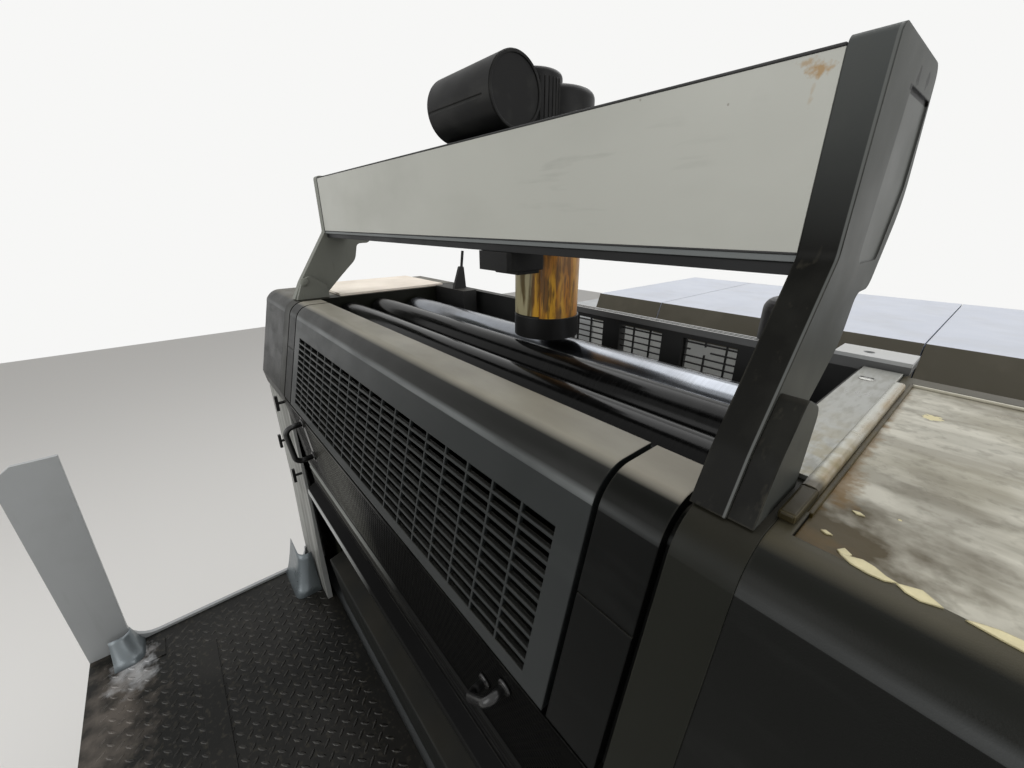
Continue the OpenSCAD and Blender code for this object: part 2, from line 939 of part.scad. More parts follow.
module front_gallery_frame() {
    color("#55585a") {
        for (y = [front_y + 20, unit_front - beam_box - seat])
            translate([far_x + plate_t + seat, y, deck_h - tread_t - seat - beam_box])
                cube([press_w - plate_t - seat, beam_box, beam_box]);
        for (x = [far_x + 60, 0 - beam_box / 2, near_x - 60 - beam_box]) {
            translate([x, front_y + 20, 0])
                cube([beam_box, beam_box, deck_h - tread_t - seat - beam_box / 2]);
            translate([x, front_y + 20, deck_h - tread_t - seat - beam_box])
                cube([beam_box, gallery_w - 20 + 5 - seat, beam_box]);
        }
    }
}

module rear_gallery_frame() {
    color("#55585a") {
        for (y = [unit_rear + seat, section_front_y - beam_box - seat])
            translate([far_x, y, deck_h - tread_t - seat - beam_box])
                cube([press_w, beam_box, beam_box]);
        for (x = [far_x + 60, 0 - beam_box / 2, near_x - 60 - beam_box])
            translate([x, unit_rear + seat, deck_h - tread_t - seat - beam_box])
                cube([beam_box, rear_gallery_w - 2 * seat, beam_box]);
    }
}

corner_r = 60;
sill_h = 8;

// Upright plate at the far end of the front gallery, open between its two legs
module gangway_plate() {
    left_in = front_y + 98;
    right_in = clad_foot_y - seat - 5;
    low_in = deck_h + sill_h;
    post_top = deck_h + 660;
    post_out = 122;
    color("#c3c6c6")
        along_x(far_x, far_x + plate_t)
            difference() {
                polygon([
                    [front_y, deck_h - 80],
                    [front_y, post_top - 30],
                    [front_y + 40, post_top],
                    [front_y + post_out + 8, post_top],
                    [front_y + post_out + 8, low_in + corner_r],
                    [clad_foot_y - seat, low_in + corner_r],
                    [clad_foot_y - seat, deck_h - 80]
                ]);
                polygon(rounded([
                    [front_y + post_out, post_top + eps, 0],
                    [left_in, low_in, corner_r],
                    [right_in, low_in, corner_r],
                    [right_in, post_top + eps, 0]
                ]));
            }
}

hood_cuts = [0, hood_split, bay_w];
hood_gap = 1.5;
hood_lip = slope_h + 9;

module section_base() {
    color("#4a4c4c")
        translate([bay_far, section_front_y + 14, 0])
            cube([bay_w, section_d - 20, hood_h - hood_lip - seat]);
}

module section_front() {
    color("#d0d2d0")
        translate([bay_far, section_front_y + 4, 0])
            cube([bay_w, 10 - seat, hood_h - hood_lip - seat]);
}

module hood_outline(low) {
    polygon([
        [section_front_y, hood_h - slope_h],
        [section_front_y + slope_d, hood_h],
        [section_rear, hood_h],
        [section_rear, low],
        [section_front_y, low]
    ]);
}

module hood_panels() {
    color("#dde0e4")
        for (i = [0 : len(hood_cuts) - 2])
            along_x(bay_far + hood_cuts[i] + hood_gap, bay_far + hood_cuts[i + 1] - hood_gap)
                hood_outline(hood_h - hood_lip);
}

module hood_near_cover() {
    color("#cfccc2")
        along_x(bay_near + hood_gap, near_x)
            hood_outline(0);
}

far_cover_drop = 100;

module hood_far_cover() {
    color("#b9bcbc")
        along_x(far_x, bay_far - seat)
            polygon(rounded([
                [section_front_y, 0, 0],
                [section_front_y, hood_h - far_cover_drop, 30],
                [section_rear - 5, hood_h - far_cover_drop, 0],
                [section_rear - 5, 0, 0]
            ]));
}

side_frame_far();
side_frame_near();
base_casting();
rear_guard();
ink_roller_front();
ink_roller_rear();
fountain_roller();
ink_fountain();
fountain_guard();
guard_rail();
key_bracket();
grille_guard();
cheek_far();
cheek_near();
lower_guard();
lower_handles();
cladding_knobs();
side_cover_far();
far_cladding();
far_top_plate();
side_cover_near();
near_top_plate();
near_strips();
ink_beam();
beam_panel();
beam_rail();
arm_far();
arm_near();
arm_foot_far();
arm_foot_near();
carriage_block();
carriage_drum();
carriage_housing();
ink_tube();
tube_holder();
front_footboard();
rear_footboard();
front_gallery_frame();
rear_gallery_frame();
gangway_plate();
section_base();
section_front();
hood_panels();
hood_near_cover();
hood_far_cover();
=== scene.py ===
import math

import bmesh
import bpy
from mathutils import Matrix, Vector


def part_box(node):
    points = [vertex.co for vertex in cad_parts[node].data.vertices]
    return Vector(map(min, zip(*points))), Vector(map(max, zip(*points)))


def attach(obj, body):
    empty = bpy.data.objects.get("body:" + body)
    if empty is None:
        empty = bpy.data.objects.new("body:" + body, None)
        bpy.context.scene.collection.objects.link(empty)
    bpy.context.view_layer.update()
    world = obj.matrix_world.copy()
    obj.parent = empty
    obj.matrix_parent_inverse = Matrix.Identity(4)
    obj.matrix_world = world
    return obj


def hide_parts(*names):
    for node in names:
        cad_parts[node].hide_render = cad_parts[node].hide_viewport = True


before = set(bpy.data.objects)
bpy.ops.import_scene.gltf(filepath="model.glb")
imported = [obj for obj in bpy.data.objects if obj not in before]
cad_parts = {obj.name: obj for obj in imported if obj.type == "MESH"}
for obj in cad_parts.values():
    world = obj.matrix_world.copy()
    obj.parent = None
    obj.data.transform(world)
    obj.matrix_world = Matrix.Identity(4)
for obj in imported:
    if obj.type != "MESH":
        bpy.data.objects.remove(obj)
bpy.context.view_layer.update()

scene = bpy.context.scene
scene.view_settings.view_transform = "Standard"

# The viewpoint: someone standing on the front gallery, by the drive side, with a very wide lens
# held at eye height and tipped down towards the far end of the inking unit.
lens_place = Vector((0.595, -0.940, 2.000))
lens_right = Vector((0.64090, 0.76761, -0.00364))
lens_up = Vector((-0.28088, 0.23892, 0.92953))
lens_back = lens_right.cross(lens_up)
lens = bpy.data.cameras.new("gallery_view")
lens.sensor_width = 36.0
lens.lens = 14.48
lens.clip_start = 0.02
lens.clip_end = 60.0
viewer = bpy.data.objects.new("gallery_view", lens)
turn = Matrix((lens_right, lens_up, lens_back)).transposed().to_4x4()
viewer.matrix_world = Matrix.Translation(lens_place) @ turn
scene.collection.objects.link(viewer)
scene.camera = viewer

# The studio: a pale floor, an even white surround and three broad soft lamps: overhead, at the side
# where the windows are, and on the hall's side, so that tops and brows catch a long highlight.
studio_world = bpy.data.worlds.new("studio")
scene.world = studio_world
studio_world.use_nodes = True
links = studio_world.node_tree.links
nodes = studio_world.node_tree.nodes
nodes.clear()
path = nodes.new("ShaderNodeLightPath")
seen, seen_too = nodes.new("ShaderNodeMath"), nodes.new("ShaderNodeMath")
seen.operation = seen_too.operation = "MAXIMUM"
around = nodes.new("ShaderNodeBackground")
around.inputs["Color"].default_value = (1.0, 0.99, 0.97, 1)
around.inputs["Strength"].default_value = 0.42
backdrop = nodes.new("ShaderNodeBackground")
backdrop.inputs["Color"].default_value = (0.93, 0.93, 0.92, 1)
backdrop.inputs["Strength"].default_value = 1.0
choose = nodes.new("ShaderNodeMixShader")
world_out = nodes.new("ShaderNodeOutputWorld")
links.new(path.outputs["Is Camera Ray"], seen.inputs[0])
links.new(path.outputs["Is Glossy Ray"], seen.inputs[1])
links.new(seen.outputs[0], seen_too.inputs[0])
links.new(path.outputs["Is Transmission Ray"], seen_too.inputs[1])
links.new(seen_too.outputs[0], choose.inputs[0])
links.new(around.outputs[0], choose.inputs[1])
links.new(backdrop.outputs[0], choose.inputs[2])
links.new(choose.outputs[0], world_out.inputs["Surface"])

floor_mesh = bpy.data.meshes.new("studio_floor")
floor_half = 9.0
floor_mesh.from_pydata([(-floor_half, -floor_half, 0), (floor_half, -floor_half, 0),
                        (floor_half, floor_half, 0), (-floor_half, floor_half, 0)], [], [(0, 1, 2, 3)])
floor = bpy.data.objects.new("studio_floor", floor_mesh)
scene.collection.objects.link(floor)
floor_paint = bpy.data.materials.new("studio_floor")
floor_paint.use_nodes = True
floor_shader = floor_paint.node_tree.nodes["Principled BSDF"]
floor_shader.inputs["Base Color"].default_value = (0.80, 0.79, 0.77, 1)
floor_shader.inputs["Roughness"].default_value = 0.85
floor_mesh.materials.append(floor_paint)


def soft_lamp(name, place, aim, size, power):
    data = bpy.data.lights.new(name, "AREA")
    data.shape = "SQUARE"
    data.size = size
    data.energy = power
    lamp = bpy.data.objects.new(name, data)
    lamp.location = place
    lamp.rotation_euler = (Vector(aim) - Vector(place)).to_track_quat("-Z", "Y").to_euler()
    scene.collection.objects.link(lamp)


soft_lamp("overhead", (-0.6, 1.5, 5.2), (-0.1, -0.3, 1.5), 4.0, 100)
soft_lamp("window_side", (5.2, 0.6, 3.4), (0.2, -0.3, 1.6), 3.0, 80)
soft_lamp("hall_side", (-0.6, -4.8, 3.2), (0.0, -0.6, 1.9), 3.5, 85)

# Side frames, base and rear guard
# Two cast side walls carry every roller of the unit and stand on a cast base; a folded sheet
# closes the back. All are sprayed in the same dark machine enamel, rubbed lighter on the edges.


def seen_colour(red, green, blue):
    """A colour as the eye reads it, 0 to 255, as the shader takes it"""
    shares = (((c / 255 + 0.055) / 1.055) ** 2.4 if c > 10 else c / 3294 for c in (red, green, blue))
    return (*shares, 1.0)


def feed(tree, value, socket):
    if isinstance(value, bpy.types.NodeSocket):
        tree.links.new(value, socket)
    else:
        socket.default_value = value


def sums(tree, kind, first, second=0.0, third=0.0):
    node = tree.nodes.new("ShaderNodeMath")
    node.operation = kind
    for value, socket in zip((first, second, third), node.inputs):
        feed(tree, value, socket)
    return node.outputs[0]


def vectors(tree, kind, first, second=(0, 0, 0)):
    node = tree.nodes.new("ShaderNodeVectorMath")
    node.operation = kind
    feed(tree, first, node.inputs[0])
    feed(tree, second, node.inputs[1])
    return node.outputs


def ramp(tree, value, start, end, low=0.0, high=1.0):
    node = tree.nodes.new("ShaderNodeMapRange")
    feed(tree, value, node.inputs["Value"])
    for socket, number in zip(("From Min", "From Max", "To Min", "To Max"), (start, end, low, high)):
        node.inputs[socket].default_value = number
    return node.outputs["Result"]


def stretch(tree, place, scale, shift=(0, 0, 0)):
    node = tree.nodes.new("ShaderNodeMapping")
    node.inputs["Scale"].default_value = scale
    node.inputs["Location"].default_value = shift
    tree.links.new(place, node.inputs["Vector"])
    return node.outputs[0]


def cloud(tree, place, size, start=0.4, end=0.6, detail=5.0, shift=0.0):
    """Cloudy mask whose patches measure about size, in metres"""
    node = tree.nodes.new("ShaderNodeTexNoise")
    node.inputs["Scale"].default_value = 1.0 / size
    node.inputs["Detail"].default_value = detail
    if shift:
        place = stretch(tree, place, (1, 1, 1), (shift, shift * 1.7, shift * 0.6))
    tree.links.new(place, node.inputs["Vector"])
    return ramp(tree, node.outputs["Fac"], start, end)


def streaks(tree, place, scale, *patches):
    """Cloudy mask drawn out along the axes whose scale is small"""
    return cloud(tree, stretch(tree, place, scale), *patches)


def over(tree, mask, below, above):
    """Lays the second colour or value over the first one where the mask is 1"""
    node = tree.nodes.new("ShaderNodeMix")
    node.data_type = "RGBA"
    feed(tree, mask, node.inputs[0])
    feed(tree, below, node.inputs[6])
    feed(tree, above, node.inputs[7])
    return node.outputs[2]


def both(tree, first, second):
    """Where two masks meet, or a share of one mask"""
    return sums(tree, "MULTIPLY", first, second)


def stain(tree, tone, mask, share, colour):
    """Lays a colour over the tone where the mask is, as strongly as the share says"""
    return over(tree, both(tree, mask, share), tone, seen_colour(*colour))


def blot(tree, place, centre, reach, ragged=0.5, grain=0.02, soft=0.35):
    """Mask of one stain: an oval of the given half sizes with a ragged rim"""
    off = vectors(tree, "SUBTRACT", place, centre)[0]
    span = vectors(tree, "LENGTH", vectors(tree, "DIVIDE", off, reach)[0])["Value"]
    torn = cloud(tree, place, grain, 0.25, 0.75, 6.0, centre[0])
    rim = sums(tree, "MULTIPLY_ADD", torn, ragged, span)
    return ramp(tree, rim, 1.0 + ragged / 2, 1.0 + ragged / 2 - soft)


def part_of(tree, place, axis):
    node = tree.nodes.new("ShaderNodeSeparateXYZ")
    tree.links.new(place, node.inputs[0])
    return node.outputs[axis]


def facing(tree, axis):
    """How much the surface looks along an axis, from -1 to 1"""
    node = tree.nodes.new("ShaderNodeNewGeometry")
    split = tree.nodes.new("ShaderNodeSeparateXYZ")
    tree.links.new(node.outputs["Normal"], split.inputs[0])
    return split.outputs[axis]


def coated(name, colour, rough, metal=0.0, mottle=0.08, patch=0.25, grain=0.0012, depth=0.06,
           edge=0.0012, rub=None, rubbed=0.5, dust=None, dusted=0.3, marks=None, shine=0.5):
    """Sprayed, moulded or bare finish with clouding, fine grain, soft edges, rubbed edges and dust"""
    paint = bpy.data.materials.new(name)
    paint.use_nodes = True
    tree = paint.node_tree
    shader = tree.nodes["Principled BSDF"]
    shader.inputs["Metallic"].default_value = metal
    shader.inputs["Specular IOR Level"].default_value = shine
    place = tree.nodes.new("ShaderNodeTexCoord").outputs["Object"]
    base = seen_colour(*colour)
    dark = tuple(c * (1 - mottle) for c in base[:3]) + (1.0,)
    light = tuple(min(1.0, c * (1 + mottle)) for c in base[:3]) + (1.0,)
    tone = over(tree, cloud(tree, place, patch, 0.35, 0.65), dark, light)
    uneven = cloud(tree, place, patch * 0.3, 0.3, 0.7, 6.0, 3.1)
    gloss = ramp(tree, uneven, 0.0, 1.0, rough * 0.85, min(1.0, rough * 1.2))
    if dust:
        lying = ramp(tree, facing(tree, 2), 0.55, 0.95)
        settled = both(tree, lying, cloud(tree, place, patch * 0.5, 0.3, 0.75, 8.0, 7.7))
        tone = stain(tree, tone, settled, dusted, dust)
        gloss = sums(tree, "MULTIPLY_ADD", settled, 0.15, gloss)
    soft = tree.nodes.new("ShaderNodeBevel")
    soft.samples = 4
    soft.inputs["Radius"].default_value = edge
    if rub:
        true_face = tree.nodes.new("ShaderNodeNewGeometry").outputs["Normal"]
        bend = vectors(tree, "DOT_PRODUCT", soft.outputs["Normal"], true_face)["Value"]
        rim = ramp(tree, bend, 0.995, 0.90)
        worn = both(tree, rim, cloud(tree, place, 0.035, 0.35, 0.6, 8.0, 5.3))
        tone = stain(tree, tone, worn, rubbed, rub)
    if marks:
        tone, gloss = marks(tree, place, tone, gloss)
    feed(tree, tone, shader.inputs["Base Color"])
    feed(tree, gloss, shader.inputs["Roughness"])
    bump = tree.nodes.new("ShaderNodeBump")
    bump.inputs["Strength"].default_value = depth
    bump.inputs["Distance"].default_value = 0.0006
    feed(tree, cloud(tree, place, grain, 0.2, 0.8, 3.0), bump.inputs["Height"])
    tree.links.new(soft.outputs["Normal"], bump.inputs["Normal"])
    tree.links.new(bump.outputs["Normal"], shader.inputs["Normal"])
    return paint


def dress(finish, *names):
    for name in names:
        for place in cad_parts[name].material_slots:
            place.material = finish


frame_enamel = coated("frame_enamel", (20, 21, 15), 0.40, rub=(80, 80, 74), rubbed=0.35,
                      dust=(84, 78, 66), dusted=0.2, shine=0.12)
cast_enamel = coated("cast_enamel", (26, 27, 25), 0.55, mottle=0.05, grain=0.003, depth=0.12,
                     dust=(70, 66, 56), shine=0.15)
dress(frame_enamel, "side_frame_far", "side_frame_near", "rear_guard")
dress(cast_enamel, "base_casting", "section_base")

# Inking rollers
# Two rubber-covered form rollers, black with a film of ink and faint rings from the running ink,
# and the ground steel roller that dips into the fountain.


def ringed(tree, place, tone, gloss):
    rings = streaks(tree, place, (1, 0.02, 0.02), 0.006, 0.35, 0.65, 4.0)
    film = streaks(tree, place, (0.5, 1, 1), 0.05, 0.45, 0.7, 6.0, 2.0)
    tone = stain(tree, tone, rings, 0.3, (30, 30, 30))
    return tone, sums(tree, "MULTIPLY_ADD", both(tree, rings, film), 0.10, gloss)


def inked_steel(tree, place, tone, gloss):
    rings = streaks(tree, place, (1, 0.02, 0.02), 0.004, 0.35, 0.65, 4.0)
    smear = streaks(tree, place, (0.6, 1, 1), 0.08, 0.52, 0.7, 7.0, 4.0)
    smudge = streaks(tree, place, (0.5, 1, 1), 0.10, 0.40, 0.66, 4.0, 6.0)
    tone = stain(tree, tone, rings, 0.15, (100, 102, 104))
    tone = stain(tree, tone, smear, 0.25, (104, 96, 76))
    tone = stain(tree, tone, smudge, 0.55, (70, 71, 72))
    return tone, sums(tree, "MULTIPLY_ADD", smudge, 0.10, gloss)


ink_rubber = coated("ink_rubber", (6, 6, 6), 0.16, mottle=0.1, grain=0.002, depth=0.03,
                    marks=ringed, shine=0.12)
ground_steel = coated("ground_steel", (142, 146, 153), 0.18, metal=1.0, depth=0.02, marks=inked_steel)
dress(ink_rubber, "ink_roller_front", "ink_roller_rear")
dress(ground_steel, "fountain_roller")

# Ink fountain, its slotted guard and the rail on it
# A bright steel blade slopes down to the fountain roller; a black moulded guard with lattice
# windows closes it behind, capped by an extruded rail with a white end plate and a black knob.


def blade_ink_and_shade(tree, place, tone, gloss):
    smear = streaks(tree, place, (0.5, 1, 1), 0.07, 0.5, 0.68, 7.0, 1.0)
    spatter = cloud(tree, place, 0.018, 0.52, 0.64, 9.0, 3.0)
    tone = stain(tree, tone, smear, 0.5, (120, 112, 88))
    tone = stain(tree, tone, spatter, 0.45, (84, 84, 82))
    # Painted shade: the blade is darker towards its back edge, where it meets the guard.
    back = ramp(tree, part_of(tree, place, 1), -0.250, -0.222)
    return stain(tree, tone, back, 0.5, (70, 70, 66)), gloss


end_plate_x, end_plate_z = 0.455, 1.8198
knob_left, knob_right, knob_z = 0.345, 0.403, 1.8192


def rail_parts(tree, place, tone, gloss):
    along, high = part_of(tree, place, 0), part_of(tree, place, 2)
    knob = both(tree, ramp(tree, along, knob_left, knob_left + 0.002),
                ramp(tree, along, knob_right, knob_right - 0.002))
    knob = both(tree, knob, ramp(tree, high, knob_z, knob_z + 0.0004))
    on_plate = both(tree, ramp(tree, along, end_plate_x, end_plate_x + 0.0005),
                    ramp(tree, high, end_plate_z, end_plate_z + 0.0004))
    # Painted shade: the rail's sides, all but its end plate, are darkened against its top.
    side = ramp(tree, facing(tree, 2), 0.6, 0.3)
    dark = both(tree, side, sums(tree, "SUBTRACT", 1.0, on_plate))
    tone = stain(tree, tone, dark, 0.85, (52, 52, 50))
    tone = over(tree, knob, tone, seen_colour(20, 20, 21))
    return tone, sums(tree, "MULTIPLY_ADD", knob, 0.08, gloss)


blade_steel = coated("blade_steel", (172, 175, 178), 0.30, metal=0.6, mottle=0.06, depth=0.02,
                     marks=blade_ink_and_shade)
lattice_plastic = coated("lattice_plastic", (17, 17, 16), 0.5, dust=(72, 68, 58), dusted=0.4,
                         rub=(70, 68, 60), rubbed=0.4, shine=0.3)
rail_metal = coated("rail_metal", (186, 188, 188), 0.38, mottle=0.04, dust=(190, 184, 170),
                    marks=rail_parts)
dress(blade_steel, "ink_fountain")
dress(lattice_plastic, "fountain_guard", "key_bracket")
dress(rail_metal, "guard_rail")

# Grille guard, cheeks, lower guard and side covers
# Moulded covers in dark grey with a fine satin skin. A painted highlight runs under the brow, the
# flat top is painted pale as painted light with some dust, the leaning face is painted a tone of its own
# by the way it faces, and the lower guard has a band of pierced sheet behind its face.


def moulded(name, brow, flat, face, line, bands=(), shine=0.14, wiped=0.08):
    """Satin moulding with painted light: a pale flat top that is painted light with some dust in it, a dark
    brow, a painted highlight under it, and a tone of its own painted on the leaning face by the way it faces
    """
    def handled_and_lit(tree, place, tone, gloss):
        up, level, along = facing(tree, 2), part_of(tree, place, 2), part_of(tree, place, 0)
        # Painted light with some dust: flat tops at the covers' top height are painted pale, in dust streaks.
        settled = streaks(tree, place, (0.5, 1, 1), 0.05, 0.25, 0.7, 9.0, 9.0)
        lying = both(tree, ramp(tree, up, 0.90, 0.99), ramp(tree, settled, 0.0, 1.0, 0.72, 1.0))
        lying = both(tree, lying, ramp(tree, level, 1.795, 1.803))
        tone = over(tree, lying, tone, seen_colour(*flat))
        # Painted shade and light: the leaning face takes a tone of its own by the way it faces, paler on the
        # grille guard and darker on the cheeks and covers.
        tone = over(tree, ramp(tree, up, 0.46, 0.24), tone, seen_colour(*face))
        # Painted highlight: a pale band where the brow turns into the face, broken into streaks.
        painted_highlight = both(tree, ramp(tree, up, 0.25, 0.33), ramp(tree, up, 0.52, 0.38))
        highlight_streaks = streaks(tree, place, (0.25, 1, 1), 0.05, 0.25, 0.7, 6.0, 2.0)
        painted_highlight = both(tree, painted_highlight, highlight_streaks)
        tone = stain(tree, tone, painted_highlight, 0.75, line)
        wipes = streaks(tree, place, (0.35, 1, 1.6), 0.045, 0.55, 0.75, 8.0, 6.0)
        tone = stain(tree, tone, wipes, wiped, (80, 82, 80))
        outer = ramp(tree, facing(tree, 1), -0.05, -0.4)
        for low, high, bright, dull, (rise, full, fall, end) in bands:
            inside = both(tree, ramp(tree, level, low, low + 0.001), ramp(tree, level, high, high - 0.001))
            lit = both(tree, ramp(tree, along, rise, full), ramp(tree, along, end, fall))
            colour = over(tree, lit, seen_colour(*dull), seen_colour(*bright))
            tone = over(tree, both(tree, inside, outer), tone, colour)
        return tone, sums(tree, "MULTIPLY_ADD", wipes, 0.08, gloss)
    return coated(name, brow, 0.36, mottle=0.07, grain=0.0010, depth=0.09, edge=0.0025,
                  rub=(96, 95, 88), rubbed=0.4, marks=handled_and_lit, shine=shine)


guard_skin = moulded("guard_skin", (15, 16, 13), (162, 158, 145), (38, 41, 41), (130, 134, 134), shine=0.18)
cheek_skin = moulded("cheek_skin", (11, 12, 9), (168, 163, 150), (8, 9, 8), (80, 82, 82),
                     shine=0.08, wiped=0.04)
cover_skin = moulded("cover_skin", (17, 18, 14), (72, 68, 54), (12, 13, 11), (80, 82, 82),
                     shine=0.12, wiped=0.05)
# Across the lower guard, from the top: the pierced band, three ribs and the foot ledge. Each has its
# lowest and highest height, its lit colour and its shaded one, and where along X the light lies on it.
lower_bands = (
    (1.3780, 1.5560, (78, 78, 72), (11, 11, 10), (-0.42, -0.30, -0.14, -0.04)),
    (1.3520, 1.3650, (130, 132, 128), (20, 20, 19), (-0.60, -0.56, -0.20, 0.02)),
    (1.3370, 1.3450, (60, 60, 56), (12, 12, 12), (-0.60, -0.56, -0.30, 0.10)),
    (1.3200, 1.3280, (60, 60, 56), (12, 12, 12), (-0.60, -0.56, -0.30, 0.10)),
    (1.2540, 1.2720, (172, 174, 172), (26, 26, 25), (-0.66, -0.60, -0.32, -0.10)))
lower_skin = moulded("lower_skin", (5, 5, 5), (18, 18, 17), (5, 5, 5), (12, 12, 12), lower_bands,
                     shine=0.04, wiped=0.015)
dress(guard_skin, "grille_guard")
dress(cheek_skin, "cheek_far", "cheek_near")
dress(cover_skin, "side_cover_far", "side_cover_near")
dress(lower_skin, "lower_guard")


def loose(name, mesh, finish, body="press"):
    """Puts a finished mesh into the scene as a piece of the machine"""
    piece = bpy.data.objects.new(name, mesh)
    scene.collection.objects.link(piece)
    mesh.materials.clear()
    mesh.materials.append(finish)
    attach(piece, body)
    return piece


def piece_tree(name, in_grid):
    """Geometry Nodes that put one small piece, turned alike, on each given point, or on every point
    of a grid whose alternate rows are shifted"""
    tree = bpy.data.node_groups.new(name, "GeometryNodeTree")
    face = tree.interface
    kinds = {"Geometry": "Geometry", "Piece": "Object", "Finish": "Material", "Piece turn": "Vector"}
    if in_grid:
        kinds.update({"Along": "Int", "Across": "Int", "Step along": "Float", "Step across": "Float",
                      "Shift": "Float", "Place": "Vector", "Turn": "Vector"})
    for label, kind in kinds.items():
        face.new_socket(label, in_out="INPUT", socket_type="NodeSocket" + kind)
    face.new_socket("Geometry", in_out="OUTPUT", socket_type="NodeSocketGeometry")
    new, link = tree.nodes.new, tree.links.new
    given = new("NodeGroupInput").outputs
    points = given["Geometry"]
    if in_grid:
        grid = new("GeometryNodeMeshGrid")
        for count, step, axis in (("Along", "Step along", "X"), ("Across", "Step across", "Y")):
            link(given[count], grid.inputs["Vertices " + axis])
            length = both(tree, sums(tree, "SUBTRACT", given[count], 1.0), given[step])
            link(length, grid.inputs["Size " + axis])
        index = new("GeometryNodeInputIndex").outputs[0]
        row = sums(tree, "MODULO", sums(tree, "MODULO", index, given["Across"]), 2.0)
        aside = new("ShaderNodeCombineXYZ")
        link(both(tree, row, given["Shift"]), aside.inputs[0])
        shifted = new("GeometryNodeSetPosition")
        link(grid.outputs["Mesh"], shifted.inputs["Geometry"])
        link(aside.outputs[0], shifted.inputs["Offset"])
        points = shifted.outputs[0]
    source = new("GeometryNodeObjectInfo")
    link(given["Piece"], source.inputs["Object"])
    spread = new("GeometryNodeInstanceOnPoints")
    link(points, spread.inputs["Points"])
    link(source.outputs["Geometry"], spread.inputs["Instance"])
    link(given["Piece turn"], spread.inputs["Rotation"])
    real = new("GeometryNodeRealizeInstances")
    link(spread.outputs[0], real.inputs[0])
    pieces = real.outputs[0]
    if in_grid:
        put = new("GeometryNodeTransform")
        link(pieces, put.inputs["Geometry"])
        link(given["Place"], put.inputs["Translation"])
        link(given["Turn"], put.inputs["Rotation"])
        pieces = put.outputs[0]
    ended = new("GeometryNodeSetMaterial")
    link(pieces, ended.inputs["Geometry"])
    link(given["Finish"], ended.inputs["Material"])
    link(ended.outputs[0], new("NodeGroupOutput").inputs[0])
    return tree


def grown(name, tree, points, settings, body="press"):
    """Runs a tree on the given points and keeps the result as a plain mesh"""
    seed = bpy.data.meshes.new(name)
    seed.from_pydata(points, [], [])
    host = bpy.data.objects.new(name + "_host", seed)
    scene.collection.objects.link(host)
    source = settings["Piece"]
    if source.name not in scene.collection.objects:
        scene.collection.objects.link(source)
    rows = host.modifiers.new("rows", "NODES")
    rows.node_group = tree
    for item in tree.interface.items_tree:
        if item.item_type == "SOCKET" and item.in_out == "INPUT" and item.name in settings:
            rows[item.identifier] = settings[item.name]
    bpy.context.view_layer.update()
    ready = host.evaluated_get(bpy.context.evaluated_depsgraph_get())
    mesh = bpy.data.meshes.new_from_object(ready)
    mesh.name = name
    bpy.data.objects.remove(host)
    scene.collection.objects.unlink(source)
    return loose(name, mesh, settings["Finish"], body)


def finished(name, shape):
    """Turns a worked shape into a mesh"""
    mesh = bpy.data.meshes.new(name)
    shape.to_mesh(mesh)
    shape.free()
    return mesh


def turned(name, profile, sides=24):
    """Small turned piece about Z: the profile is a list of radius and height"""
    shape = bmesh.new()
    rings = []
    for radius, height in profile:
        if radius < 1e-7:
            rings.append([shape.verts.new((0, 0, height))])
        else:
            rings.append([shape.verts.new((radius * math.cos(a), radius * math.sin(a), height))
                          for a in (math.tau * k / sides for k in range(sides))])
    for low, high in zip(rings[:-1], rings[1:]):
        for k in range(sides):
            n = (k + 1) % sides
            ring = [low[k % len(low)], low[n % len(low)], high[n % len(high)], high[k % len(high)]]
            face = []
            for vert in ring:
                if vert not in face:
                    face.append(vert)
            if len(face) > 2:
                shape.faces.new(face)
    bmesh.ops.recalc_face_normals(shape, faces=shape.faces)
    return bpy.data.objects.new(name, finished(name, shape))


def bar(name, low, high, bevel=0.0):
    """Block between two corners with rounded edges, as a mesh"""
    shape = bmesh.new()
    bmesh.ops.create_cube(shape, size=1.0)
    for vert in shape.verts:
        vert.co = Vector([low[k] + (vert.co[k] + 0.5) * (high[k] - low[k]) for k in range(3)])
    if bevel:
        bmesh.ops.bevel(shape, geom=shape.edges[:], offset=bevel, segments=2, affect="EDGES", profile=0.5)
    return finished(name, shape)


in_rows, on_points = piece_tree("repeat_in_rows", True), piece_tree("set_on_points", False)
guard_low, guard_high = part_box("lower_guard")
mesh_top = Vector((0, -0.75922, 1.553))
mesh_foot = Vector((0, -0.74023, 1.381))
band_lean = math.atan2(mesh_top.y - mesh_foot.y, mesh_top.z - mesh_foot.z)
# Painted shade: dark discs on the lower guard's face stand for the holes of the pierced sheet.
painted_hole_shade = coated("pierced_dark", (6, 6, 6), 0.9, mottle=0.0, shine=0.05)
hole_r, hole_proud, hole_step, hole_rows, plain_ends = 0.0034, 0.00014, 0.0092, 20, 0.12
hole = turned("hole", [(hole_r, -0.0004), (hole_r, hole_proud), (0.0, hole_proud)], 6)
hole_count = int((guard_high.x - guard_low.x - plain_ends) / hole_step)
middle = (guard_low + guard_high) / 2
band_mid = (mesh_top + mesh_foot) / 2
grown("pierced_band", in_rows, [(0, 0, 0)], {
    "Piece": hole, "Finish": painted_hole_shade, "Along": hole_count, "Across": hole_rows,
    "Step along": hole_step, "Step across": (mesh_top - mesh_foot).length / hole_rows,
    "Shift": hole_step / 2, "Piece turn": (0, 0, 0), "Place": (middle.x, band_mid.y, band_mid.z),
    "Turn": (math.pi / 2 - band_lean, 0, 0)}, "plate_guard")

black_handle = coated("black_handle", (24, 24, 24), 0.3, mottle=0.1, rub=(70, 68, 62))


